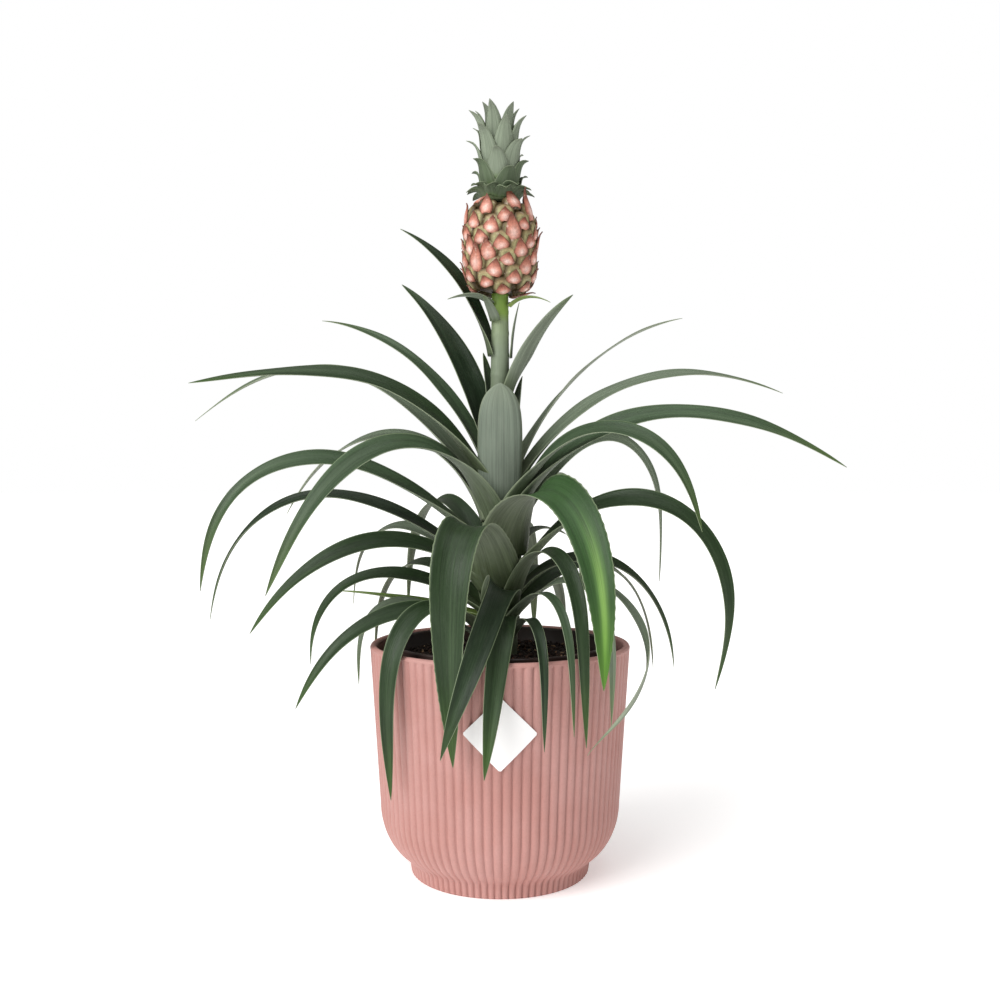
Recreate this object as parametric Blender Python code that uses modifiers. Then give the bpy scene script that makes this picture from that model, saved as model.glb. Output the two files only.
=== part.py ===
"""Potted pineapple plant: a fluted cover pot, the grow pot and soil inside it, and the plant.

Units are metres, +Z is up, and the origin is the middle of the cover pot's flat base.
A leaf is one thin shell: its midrib is walked outwards from its foot on the stem while it
bends from its launch angle to its tip angle, and its blade is a channel across that line.
Angles are in degrees, and a turn is counted anticlockwise from +X, seen from above.
"""

import math
from dataclasses import dataclass

import bmesh
import bpy
from mathutils import Vector

MM = 0.001
GAP = 0.3 * MM                     # clearance kept between touching solids

# Cover pot
POT_HEIGHT = 122.6 * MM
POT_RIM_RADIUS = 69.5 * MM
POT_WALL = 3.5 * MM
POT_SHOULDER_RADIUS = 64.2 * MM    # where the straight wall turns in
POT_SHOULDER_HEIGHT = 38.0 * MM
SHOULDER_CENTRE_RADIUS = 40.0 * MM
SHOULDER_DROP = 31.7 * MM          # upright half axis of the shoulder's ellipse
POT_WAIST_HEIGHT = 8.5 * MM
POT_FOOT_RADIUS = 47.8 * MM
POT_FLOOR = 4.0 * MM
FLUTES = 76

# Grow pot
GROW_RIM_HEIGHT = 123.0 * MM
GROW_RIM_RADIUS = 58.6 * MM
GROW_BAND = 9.0 * MM               # depth of the thicker band under its rim
GROW_BAND_THICKNESS = 2.0 * MM
GROW_WALL = 1.2 * MM
GROW_NECK_RADIUS = 57.2 * MM
GROW_FOOT_RADIUS = 41.0 * MM
GROW_FLOOR = 1.6 * MM
DRAIN_HOLES = 6
DRAIN_HOLE_RADIUS = 4.5 * MM
DRAIN_CIRCLE_RADIUS = 26.0 * MM

# Soil
SOIL_EDGE_HEIGHT = 115.0 * MM
SOIL_CROWN_HEIGHT = 116.5 * MM     # the soil is banked up a little round the stem

# Stem: (height, radius) pairs, from its buried foot to the flower stalk's top
STEM_PROFILE = (
    (95.0 * MM, 9.0 * MM),
    (150.0 * MM, 10.0 * MM),
    (200.0 * MM, 8.0 * MM),
    (230.0 * MM, 5.6 * MM),
    (300.0 * MM, 4.6 * MM),
    (309.0 * MM, 4.6 * MM),
)
STEM_SIDES = 24

# Leaves
LEAF_THICKNESS = 0.9 * MM
LEAF_ROWS = 12
LEAF_OFFSET = 1.2 * MM             # from the stem's surface to the middle of a leaf's foot
LEAF_TIP_WIDTH = 1.2 * MM
LEAF_END = 0.985                   # a blade stops this far along its midrib, with a blunt tip
FOOT_WIDTH_SHARE = 0.5             # foot's width, as a share of the blade's
FOOT_SPREAD = 0.18                 # share of the length over which the foot widens
CHANNEL_ANGLE = 0.55               # half angle of the blade's arc, in radians
ROLL_SHARE = 0.4                   # share of the length over which the blade takes up its roll
WALK_STEPS = 48                    # short steps that a midrib is walked in

# Fruit and its crown
FRUIT_BASE = 309.3 * MM
FRUIT_HEIGHT = 47.7 * MM
FRUIT_RADIUS = 18.6 * MM
FRUITLETS_ROUND = 10
FRUITLET_ROWS = 7
FRUITLET_RELIEF = 1.1 * MM
FRUIT_SQUARENESS = 0.72
CROWN_BASE = 357.3 * MM
CROWN_CORE_HEIGHT = 36.0 * MM
CROWN_CORE_RADIUS = 8.0 * MM
CROWN_CORE_TOP_RADIUS = 1.6 * MM
CROWN_LEAVES = 26
CROWN_LEAF_THICKNESS = 1.0 * MM
GOLDEN_ANGLE = 137.5

# Blank card on the front of the cover pot
LABEL_HALF_DIAGONAL = 18.5 * MM
LABEL_HEIGHT = 88.0 * MM
LABEL_THICKNESS = 0.5 * MM
LABEL_CUTS = 8


@dataclass(frozen=True)
class Leaf:
    """One leaf: where it stands on the stem and how it arches."""

    name: str
    turn: float        # heading at its foot
    foot: float        # height of its foot, mm
    length: float      # along the midrib, mm
    width: float       # at its widest, mm
    launch: float      # rise at the foot
    tip: float         # rise at the tip, below level when negative
    crest: float       # share of its length where it runs level, or is half bent
    fold: float        # 1 is an even arch, 3 a sharp fold at the crest
    sway: float = 0.0  # change of heading by the tip
    roll: float = 0.0  # turn of the blade about its midrib, clear of its foot
    twist: float = 0.0  # further turn by the tip


LEAVES = (
    # short leaves on the flower stalk
    Leaf("stalk_leaf_left", 170, 276, 88, 11, 82, 28, 0.50, 1.0, 0, -35),
    Leaf("stalk_leaf_right", 345, 256, 62, 12, 74, 40, 0.50, 1.0, 0, -35),
    Leaf("stalk_bract_left", 140, 245, 34, 10, 86, 76, 0.50, 1.0),
    Leaf("stalk_bract_right", 0, 275, 30, 5, 88, 76, 0.50, 1.0),
    # upright leaves at the heart of the plant
    Leaf("heart_leaf_front", 270, 194, 67, 25, 88, 82, 0.50, 1.0),
    Leaf("heart_leaf_right", 20, 222, 44, 16, 86, 80, 0.50, 1.0),
    Leaf("heart_leaf_left", 147, 222, 117, 17, 80, 38, 0.50, 1.2, 0, -30),
    # upper arching leaves
    Leaf("upper_leaf_1", 150, 214, 150, 10, 70, 8, 0.48, 1.0, 0, -25),
    Leaf("upper_leaf_2", 183, 208, 180, 16, 58, -8, 0.66, 1.8, 0, -35),
    Leaf("upper_leaf_3", 162, 199, 214, 13, 56, -34, 0.62, 1.5, 0, -25),
    Leaf("upper_leaf_4", 160, 187, 174, 12, 72, -47, 0.46, 1.4, -26, -25),
    Leaf("upper_leaf_5", 38, 210, 170, 8, 64, 12, 0.45, 1.0, 0, -25),
    Leaf("upper_leaf_6", 18, 204, 190, 11, 60, -18, 0.70, 1.2, 0, 30),
    # middle leaves, the longest of the plant
    Leaf("middle_leaf_1", 190, 174, 202, 14, 42, -84, 0.50, 1.6, 0, -35, -25),
    Leaf("middle_leaf_2", 208, 188, 177, 17, 74, -66, 0.37, 1.5, 0, -35),
    Leaf("middle_leaf_3", 338, 192, 150, 15, 66, -76, 0.48, 1.5, 0, 35),
    Leaf("middle_leaf_4", 355, 188, 202, 15, 66, -32, 0.55, 1.2, 0, 45),
    Leaf("middle_leaf_5", 26, 181, 183, 12, 60, -92, 0.44, 2.2, 0, 50),
    Leaf("middle_leaf_6", 301, 169, 173, 25, 82, -92, 0.32, 1.4, -2, 30),
    Leaf("middle_leaf_7", 254, 152, 185, 25, 52, -94, 0.31, 3.0, -18, -12),
    Leaf("middle_leaf_8", 172, 160, 204, 12, 40, -80, 0.47, 1.5, 0, -30),
    Leaf("middle_leaf_9", 152, 158, 122, 11, 36, -84, 0.48, 2.0, 0, -25),
    Leaf("middle_leaf_10", 346, 158, 202, 15, 54, -104, 0.38, 1.6, 0, 40),
    Leaf("middle_leaf_11", 50, 166, 56, 10, 66, -20, 0.60, 1.2),
    Leaf("middle_leaf_12", 62, 172, 165, 13, 58, -86, 0.42, 1.8, 0, 15),
    Leaf("middle_leaf_13", 95, 168, 160, 14, 56, -84, 0.40, 1.8),
    Leaf("middle_leaf_14", 120, 160, 165, 13, 50, -84, 0.42, 1.8, 0, -20),
    # skirt of lower leaves that hangs over the rim
    Leaf("skirt_leaf_1", 193, 150, 148, 14, 56, -56, 0.40, 1.2, 0, -45),
    Leaf("skirt_leaf_2", 178, 139, 128, 11, 36, -90, 0.42, 1.4, 0, -40),
    Leaf("skirt_leaf_3", 166, 136, 84, 9, 14, 2, 0.50, 1.0, 0, -10),
    Leaf("skirt_leaf_4", 195, 130, 122, 12, 34, -64, 0.30, 1.2, 0, -45),
    Leaf("skirt_leaf_5", 222, 126, 150, 13, 40, -95, 0.27, 2.2, 20, -25),
    Leaf("skirt_leaf_6", 180, 124, 104, 7, 34, -90, 0.46, 2.4, 36, -30),
    Leaf("skirt_leaf_7", 271, 141, 136, 17.5, 44, -72, 0.25, 1.6, -96, -50),
    Leaf("skirt_leaf_8", 272, 129, 127, 16, 32, -78, 0.28, 2.0, -40, -30),
    Leaf("skirt_leaf_9", 288, 125, 116, 7, 30, -92, 0.36, 2.4, -14),
    Leaf("skirt_leaf_10", 10, 148, 130, 10, 54, -84, 0.32, 1.2, 0, 35),
    Leaf("skirt_leaf_11", 307, 147, 150, 10, 60, -86, 0.28, 2.4, -24, 20),
    Leaf("skirt_leaf_12", 298, 135, 122, 6, 36, -86, 0.34, 2.4, -8, 10),
    Leaf("skirt_leaf_13", 320, 138, 128, 7, 40, -92, 0.34, 2.4, -20, 35),
    Leaf("skirt_leaf_14", 350, 142, 166, 5, 38, -48, 0.22, 2.4, -230, 0, 160),
    Leaf("skirt_leaf_15", 78, 150, 150, 13, 50, -86, 0.40, 1.8),
    Leaf("skirt_leaf_16", 108, 140, 140, 12, 44, -88, 0.40, 1.8),
    Leaf("skirt_leaf_17", 65, 134, 128, 11, 40, -88, 0.40, 1.8, 0, 15),
    Leaf("skirt_leaf_18", 138, 136, 140, 11, 42, -86, 0.40, 1.8, 0, -20),
    Leaf("skirt_leaf_19", 30, 138, 140, 11, 44, -84, 0.38, 1.6, 0, 25),
    # bracts under the fruit
    Leaf("fruit_bract_left", 207, 303, 26, 8, 40, -20, 0.50, 1.0),
    Leaf("fruit_bract_right", 335, 302, 25, 5, 44, -30, 0.50, 1.0),
    Leaf("fruit_bract_front", 240, 294, 17, 7, 62, 30, 0.50, 1.0),
    Leaf("fruit_bract_back", 80, 300, 22, 7, 40, 0, 0.50, 1.0),
)

# sRGB colour, roughness
COLOURS = {
    "cover_pot": ((0.78, 0.59, 0.56), 0.55),
    "grow_pot": ((0.10, 0.08, 0.07), 0.60),
    "soil": ((0.11, 0.08, 0.06), 0.95),
    "stem": ((0.60, 0.66, 0.50), 0.60),
    "leaf": ((0.30, 0.40, 0.28), 0.45),
    "fruit": ((0.76, 0.52, 0.40), 0.60),
    "crown": ((0.45, 0.52, 0.42), 0.55),
    "card": ((0.97, 0.97, 0.96), 0.50),
}


def remove_scene_objects():
    for item in list(bpy.data.objects):
        bpy.data.objects.remove(item, do_unlink=True)


def make_collection(name):
    collection = bpy.data.collections.new(name)
    bpy.context.scene.collection.children.link(collection)
    return collection


def make_material(name, colour, roughness):
    material = bpy.data.materials.new(name)
    material.use_nodes = True
    shader = material.node_tree.nodes["Principled BSDF"]
    linear = [channel ** 2.2 for channel in colour]
    shader.inputs["Base Color"].default_value = (*linear, 1.0)
    shader.inputs["Roughness"].default_value = roughness
    shader.inputs["Metallic"].default_value = 0.0
    return material


def add_object(name, mesh, collection, finish):
    item = bpy.data.objects.new(name, mesh)
    collection.objects.link(item)
    colour, roughness = COLOURS[finish]
    mesh.materials.append(make_material(name, colour, roughness))
    return item


def mesh_from_bmesh(name, shape):
    mesh = bpy.data.meshes.new(name)
    shape.to_mesh(mesh)
    shape.free()
    return mesh


def turned_object(name, profile, steps, collection, finish):
    """A solid of revolution whose (radius, height) profile runs from top to bottom."""
    shape = bmesh.new()
    corners = [shape.verts.new((radius, 0.0, height)) for radius, height in profile]
    for upper, lower in zip(corners, corners[1:]):
        shape.edges.new((upper, lower))
    item = add_object(name, mesh_from_bmesh(name, shape), collection, finish)
    screw = item.modifiers.new("turn", "SCREW")
    screw.axis = "Z"
    screw.angle = math.tau
    screw.steps = steps
    screw.render_steps = steps
    screw.use_merge_vertices = True
    screw.merge_threshold = 0.00001
    screw.use_smooth_shade = False
    return item


def arc(centre_radius, centre_height, half_width, half_height, start, end, count):
    """Points of an elliptic arc in a turned profile, angles counted from outwards to up."""
    points = []
    for step in range(count + 1):
        angle = math.radians(start + (end - start) * step / count)
        points.append((
            centre_radius + half_width * math.cos(angle),
            centre_height + half_height * math.sin(angle),
        ))
    return points


def cover_pot_profile():
    """Inner floor to rim, over the lip, and down the outside to the base."""
    lip = POT_WALL / 2
    lip_radius = POT_RIM_RADIUS - lip
    lip_height = POT_HEIGHT - lip
    outer_reach = POT_SHOULDER_RADIUS - SHOULDER_CENTRE_RADIUS
    waist_angle = math.degrees(
        math.asin((POT_SHOULDER_HEIGHT - POT_WAIST_HEIGHT) / SHOULDER_DROP))
    inner_angle = 75.0
    inside = [(0.0, POT_FLOOR), (POT_FOOT_RADIUS - POT_WALL + 0.5 * MM, POT_FLOOR)]
    inside += arc(SHOULDER_CENTRE_RADIUS, POT_SHOULDER_HEIGHT, outer_reach - POT_WALL,
                  SHOULDER_DROP - POT_WALL, -inner_angle, 0.0, 4)
    over_lip = arc(lip_radius, lip_height, lip, lip, 180.0, 0.0, 4)
    outside = arc(SHOULDER_CENTRE_RADIUS, POT_SHOULDER_HEIGHT, outer_reach, SHOULDER_DROP,
                  0.0, -waist_angle, 6)
    foot = [
        (POT_FOOT_RADIUS + 0.4 * MM, POT_WAIST_HEIGHT - 3.0 * MM),
        (POT_FOOT_RADIUS, 0.8 * MM),
        (POT_FOOT_RADIUS - 0.8 * MM, 0.0),
        (0.0, 0.0),
    ]
    return inside + over_lip + outside + foot


def grow_pot_outline(height):
    """Outer radius of the grow pot's tapering wall at a height."""
    foot_height = POT_FLOOR + GAP
    neck_height = GROW_RIM_HEIGHT - GROW_BAND
    share = (height - foot_height) / (neck_height - foot_height)
    return GROW_FOOT_RADIUS + (GROW_NECK_RADIUS - GROW_FOOT_RADIUS) * share


def grow_pot_profile():
    foot_height = POT_FLOOR + GAP
    neck_height = GROW_RIM_HEIGHT - GROW_BAND
    floor_top = foot_height + GROW_FLOOR
    inner_rim = GROW_RIM_RADIUS - GROW_BAND_THICKNESS
    return [
        (0.0, floor_top),
        (grow_pot_outline(floor_top) - GROW_WALL, floor_top),
        (GROW_NECK_RADIUS - GROW_WALL, neck_height),
        (inner_rim, neck_height + 1.0 * MM),
        (inner_rim, GROW_RIM_HEIGHT - 0.4 * MM),
        (inner_rim + 0.4 * MM, GROW_RIM_HEIGHT),
        (GROW_RIM_RADIUS - 0.4 * MM, GROW_RIM_HEIGHT),
        (GROW_RIM_RADIUS, GROW_RIM_HEIGHT - 0.4 * MM),
        (GROW_RIM_RADIUS, neck_height),
        (GROW_NECK_RADIUS, neck_height),
        (GROW_FOOT_RADIUS, foot_height),
        (0.0, foot_height),
    ]


def stem_radius(height):
    """Stem radius at a height, straight between the profile's points."""
    if height <= STEM_PROFILE[0][0]:
        return STEM_PROFILE[0][1]
    for (low, low_radius), (high, high_radius) in zip(STEM_PROFILE, STEM_PROFILE[1:]):
        if height <= high:
            return low_radius + (high_radius - low_radius) * (height - low) / (high - low)
    return STEM_PROFILE[-1][1]


def soil_profile():
    """Soil top with a socket for the stem, then down inside the grow pot's wall."""
    stem_foot = STEM_PROFILE[0][0]
    socket_floor = stem_foot - GAP
    bottom = POT_FLOOR + GAP + GROW_FLOOR + GAP

    def wall_radius(height):
        return grow_pot_outline(height) - GROW_WALL - 2 * GAP

    return [
        (0.0, socket_floor),
        (stem_radius(stem_foot) + GAP, socket_floor),
        (stem_radius(SOIL_CROWN_HEIGHT) + GAP, SOIL_CROWN_HEIGHT),
        (30.0 * MM, SOIL_CROWN_HEIGHT - 0.5 * MM),
        (wall_radius(GROW_RIM_HEIGHT - GROW_BAND) - 0.6 * MM, SOIL_EDGE_HEIGHT),
        (wall_radius(GROW_RIM_HEIGHT - GROW_BAND - 4.0 * MM), SOIL_EDGE_HEIGHT - 5.0 * MM),
        (wall_radius(bottom), bottom),
        (0.0, bottom),
    ]


def make_pots(parts, cutters):
    turned_object("cover_pot", cover_pot_profile(), FLUTES, parts, "cover_pot")
    grow_pot = turned_object("nursery_pot", grow_pot_profile(), 36, parts, "grow_pot")
    for hole in range(DRAIN_HOLES):
        angle = math.tau * hole / DRAIN_HOLES
        bpy.ops.mesh.primitive_cylinder_add(
            vertices=12, radius=DRAIN_HOLE_RADIUS, depth=6.0 * MM,
            location=(DRAIN_CIRCLE_RADIUS * math.cos(angle),
                      DRAIN_CIRCLE_RADIUS * math.sin(angle), POT_FLOOR + GAP))
        cutter = bpy.context.object
        cutter.name = f"drain_hole_cutter_{hole + 1}"
        cutter.hide_render = True
        cutter.display_type = "WIRE"
        for owner in list(cutter.users_collection):
            owner.objects.unlink(cutter)
        cutters.objects.link(cutter)
        cut = grow_pot.modifiers.new(f"drain_hole_{hole + 1}", "BOOLEAN")
        cut.operation = "DIFFERENCE"
        cut.solver = "EXACT"
        cut.object = cutter
    turned_object("potting_soil", soil_profile(), 36, parts, "soil")


def make_stem(parts):
    profile = [(0.0, STEM_PROFILE[-1][0])]
    profile += [(radius, height) for height, radius in reversed(STEM_PROFILE)]
    profile.append((0.0, STEM_PROFILE[0][0]))
    turned_object("stem", profile, STEM_SIDES, parts, "stem")


def rise_at(leaf, share):
    """Rise of the midrib, in degrees, at a share of its length."""
    level = leaf.launch / (leaf.launch - leaf.tip) if leaf.tip < 0 else 0.5
    stiffness = (leaf.crest / (1 - leaf.crest)) ** leaf.fold * (1 - level) / level
    bent = share ** leaf.fold
    straight = stiffness * (1 - share) ** leaf.fold
    return leaf.launch + (leaf.tip - leaf.launch) * bent / (bent + straight)


def directions(rise, heading):
    """Unit vectors along the midrib, across the blade and out of its upper face."""
    rise = math.radians(rise)
    heading = math.radians(heading)
    along = Vector((math.cos(rise) * math.cos(heading),
                    math.cos(rise) * math.sin(heading), math.sin(rise)))
    across = Vector((-math.sin(heading), math.cos(heading), 0.0))
    return along, across, along.cross(across)


def walk_midrib(leaf, start_radius):
    """Points of the midrib, with the rise and heading at each."""
    turn = math.radians(leaf.turn)
    place = Vector((start_radius * math.cos(turn), start_radius * math.sin(turn),
                    leaf.foot * MM))
    stations = [(place.copy(), float(leaf.launch), float(leaf.turn))]
    step = leaf.length * MM / WALK_STEPS
    for index in range(WALK_STEPS):
        middle = (index + 0.5) / WALK_STEPS
        along, _, _ = directions(rise_at(leaf, middle), leaf.turn + leaf.sway * middle ** 2)
        place = place + along * step
        share = (index + 1) / WALK_STEPS
        stations.append((place.copy(), rise_at(leaf, share), leaf.turn + leaf.sway * share ** 2))
    return stations


def station_at(stations, share):
    """Place, rise and heading at any share of the midrib."""
    position = share * WALK_STEPS
    index = min(int(position), WALK_STEPS - 1)
    blend = position - index
    near, far = stations[index], stations[index + 1]
    return (near[0].lerp(far[0], blend), near[1] + (far[1] - near[1]) * blend,
            near[2] + (far[2] - near[2]) * blend)


def blade_turn(leaf, share):
    """Turn of the blade about its midrib, in radians, while its foot clasps the stem."""
    eased = min(1.0, share / ROLL_SHARE)
    return math.radians(leaf.roll * eased * eased * (3 - 2 * eased) + leaf.twist * share ** 2)


def half_width(leaf, share):
    spread = FOOT_WIDTH_SHARE + (1 - FOOT_WIDTH_SHARE) * min(1.0, share / FOOT_SPREAD)
    blade = 0.5 * leaf.width * MM * spread * (1 - share ** 2.2) ** 0.8
    return max(LEAF_TIP_WIDTH / 2, blade)


def leaf_mesh(leaf, start_radius, rows):
    """A leaf's blade as an open grid, bent along its midrib and channelled across it."""
    stations = walk_midrib(leaf, start_radius)
    shape = bmesh.new()
    bmesh.ops.create_grid(shape, x_segments=2, y_segments=rows, size=1.0)
    for corner in shape.verts:
        side = corner.co.x
        share = (corner.co.y + 1) / 2 * LEAF_END
        place, rise, heading = station_at(stations, share)
        _, across, upward = directions(rise, heading)
        turn = blade_turn(leaf, share)
        across, upward = (across * math.cos(turn) + upward * math.sin(turn),
                          upward * math.cos(turn) - across * math.sin(turn))
        reach = half_width(leaf, share)
        free_radius = reach / (CHANNEL_ANGLE + (1.0 - CHANNEL_ANGLE) * (1 - share) ** 5)
        clasp = (max(free_radius, start_radius) - free_radius) * (1 - share) ** 5
        radius = free_radius + clasp
        angle = reach / radius * side
        corner.co = (place + across * (radius * math.sin(angle))
                     + upward * (radius * (1 - math.cos(angle))))
    bmesh.ops.recalc_face_normals(shape, faces=shape.faces[:])
    return mesh_from_bmesh(leaf.name, shape)


def add_thickness(item, thickness):
    solidify = item.modifiers.new("thickness", "SOLIDIFY")
    solidify.thickness = thickness
    solidify.offset = 0.0
    solidify.use_rim = True


def make_leaves(parts):
    for leaf in LEAVES:
        start_radius = stem_radius(leaf.foot * MM) + LEAF_OFFSET
        rows = LEAF_ROWS if leaf.length > 70 else LEAF_ROWS // 2
        mesh = leaf_mesh(leaf, start_radius, rows)
        add_thickness(add_object(leaf.name, mesh, parts, "leaf"), LEAF_THICKNESS)


def make_fruit(parts):
    """A barrel of fruitlets, raised in staggered rows."""
    shape = bmesh.new()
    bmesh.ops.create_uvsphere(shape, u_segments=2 * FRUITLETS_ROUND,
                              v_segments=2 * FRUITLET_ROWS, radius=1.0)
    for corner in shape.verts:
        flat = math.hypot(corner.co.x, corner.co.y)
        turn = math.atan2(corner.co.y, corner.co.x)
        row = math.acos(max(-1.0, min(1.0, corner.co.z))) / math.pi * FRUITLET_ROWS
        bulge = math.cos(FRUITLETS_ROUND * turn) * math.cos(math.pi * row)
        radius = FRUIT_RADIUS * flat ** FRUIT_SQUARENESS + FRUITLET_RELIEF * bulge * flat
        rise = math.copysign(abs(corner.co.z) ** FRUIT_SQUARENESS, corner.co.z)
        corner.co = (radius * math.cos(turn), radius * math.sin(turn),
                     FRUIT_BASE + FRUIT_HEIGHT / 2 * (1 + rise))
    add_object("fruit", mesh_from_bmesh("fruit", shape), parts, "fruit")


def crown_leaf(index):
    """One leaf of the crown: low ones short and spreading, high ones long and upright."""
    share = index / (CROWN_LEAVES - 1)
    low = (CROWN_BASE + 3.0 * MM) / MM
    return Leaf(f"crown_leaf_{index + 1}", GOLDEN_ANGLE * index % 360,
                low + 28.0 * share, 12.0 + 11.0 * share ** 0.5, 7.0 - 1.0 * share,
                52 + 32 * share, 12 + 56 * share, 0.5, 1.0)


def make_crown(parts, cutters):
    """A tapering core with its leaves united to it."""
    profile = [
        (0.0, CROWN_BASE + CROWN_CORE_HEIGHT),
        (CROWN_CORE_TOP_RADIUS, CROWN_BASE + CROWN_CORE_HEIGHT),
        (CROWN_CORE_RADIUS * 0.75, CROWN_BASE + CROWN_CORE_HEIGHT * 0.5),
        (CROWN_CORE_RADIUS, CROWN_BASE),
        (0.0, CROWN_BASE),
    ]
    crown = turned_object("crown", profile, 16, parts, "crown")
    for index in range(CROWN_LEAVES):
        leaf = crown_leaf(index)
        share = (leaf.foot * MM - CROWN_BASE) / CROWN_CORE_HEIGHT
        root_radius = CROWN_CORE_RADIUS * (1 - share) * 0.8
        blade = add_object(leaf.name, leaf_mesh(leaf, root_radius, 3), cutters, "crown")
        add_thickness(blade, CROWN_LEAF_THICKNESS)
        blade.hide_render = True
        blade.display_type = "WIRE"
        union = crown.modifiers.new(leaf.name, "BOOLEAN")
        union.operation = "UNION"
        union.solver = "EXACT"
        union.object = blade


def wall_radius_at(height):
    """Outer radius of the cover pot's straight wall at a height."""
    share = (height - POT_SHOULDER_HEIGHT) / (POT_HEIGHT - POT_WALL / 2 - POT_SHOULDER_HEIGHT)
    return POT_SHOULDER_RADIUS + (POT_RIM_RADIUS - POT_SHOULDER_RADIUS) * share


def make_label(parts):
    """A square card standing on its corner, bent round the front of the pot."""
    shape = bmesh.new()
    bmesh.ops.create_grid(shape, x_segments=LABEL_CUTS, y_segments=LABEL_CUTS, size=0.5)
    for corner in shape.verts:
        sideways = (corner.co.x - corner.co.y) * LABEL_HALF_DIAGONAL
        height = LABEL_HEIGHT + (corner.co.x + corner.co.y) * LABEL_HALF_DIAGONAL
        radius = wall_radius_at(height) + GAP + LABEL_THICKNESS / 2
        angle = sideways / radius - math.pi / 2
        corner.co = (radius * math.cos(angle), radius * math.sin(angle), height)
    bmesh.ops.recalc_face_normals(shape, faces=shape.faces[:])
    card = add_object("pot_label", mesh_from_bmesh("pot_label", shape), parts, "card")
    add_thickness(card, LABEL_THICKNESS)


def main():
    remove_scene_objects()
    parts = make_collection("potted_pineapple_plant")
    cutters = make_collection("cutters")
    make_pots(parts, cutters)
    make_stem(parts)
    make_leaves(parts)
    make_fruit(parts)
    make_crown(parts, cutters)
    make_label(parts)


main()
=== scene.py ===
"""Looks of the potted pineapple plant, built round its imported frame.

Units are metres, +Z is up, -Y is the front, and the origin is the middle of the cover pot's flat
base. Each sub-assembly is a class that holds its own sizes, builds its meshes and dresses them.
Angles are in degrees, and a turn is counted anticlockwise from +X, seen from above.
"""

import logging
import math
import random
from dataclasses import dataclass
from enum import Enum
from typing import Callable, Iterable, Optional, Sequence

import bmesh
import bpy
from mathutils import Matrix, Vector, noise

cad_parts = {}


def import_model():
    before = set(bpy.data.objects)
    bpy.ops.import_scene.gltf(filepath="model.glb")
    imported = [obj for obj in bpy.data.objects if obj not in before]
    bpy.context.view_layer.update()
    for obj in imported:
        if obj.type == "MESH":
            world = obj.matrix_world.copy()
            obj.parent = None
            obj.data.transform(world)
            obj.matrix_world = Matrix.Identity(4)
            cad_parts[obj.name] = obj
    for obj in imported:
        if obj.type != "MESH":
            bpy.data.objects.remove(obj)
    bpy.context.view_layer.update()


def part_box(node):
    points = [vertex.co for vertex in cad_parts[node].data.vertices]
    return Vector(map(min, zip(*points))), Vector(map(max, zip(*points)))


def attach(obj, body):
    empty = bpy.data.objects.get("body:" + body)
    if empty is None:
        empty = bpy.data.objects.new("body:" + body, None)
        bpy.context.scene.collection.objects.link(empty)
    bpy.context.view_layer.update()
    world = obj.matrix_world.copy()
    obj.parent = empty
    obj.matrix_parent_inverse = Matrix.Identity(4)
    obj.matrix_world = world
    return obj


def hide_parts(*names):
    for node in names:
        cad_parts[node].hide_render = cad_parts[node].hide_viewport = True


LOG = logging.getLogger("pineapple_plant")
MM = 0.001
BODY = "root"

Colour = tuple[float, float, float]
Point = tuple[float, float]


def linear(colour: Colour) -> tuple[float, float, float, float]:
    """Turns a display colour, 0 to 255, into a linear one with full alpha.

    Args:
        colour: red, green and blue as a display shows them.

    Returns:
        The same colour as a shader takes it.
    """
    channels = [channel / 255 for channel in colour]
    return tuple(c / 12.92 if c <= 0.04045 else ((c + 0.055) / 1.055) ** 2.4
                 for c in channels) + (1.0,)


def blend_colours(first: Colour, second: Colour, share: float) -> Colour:
    """Mixes two display colours; a share of 1 gives the second."""
    return tuple(a + (b - a) * share for a, b in zip(first, second))


def smooth(low: float, high: float, value: float) -> float:
    """Rises from 0 at low to 1 at high, with no corner at either end."""
    share = max(0.0, min(1.0, (value - low) / (high - low)))
    return share * share * (3 - 2 * share)


# ---------------------------------------------------------------------------- finishes


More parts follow.
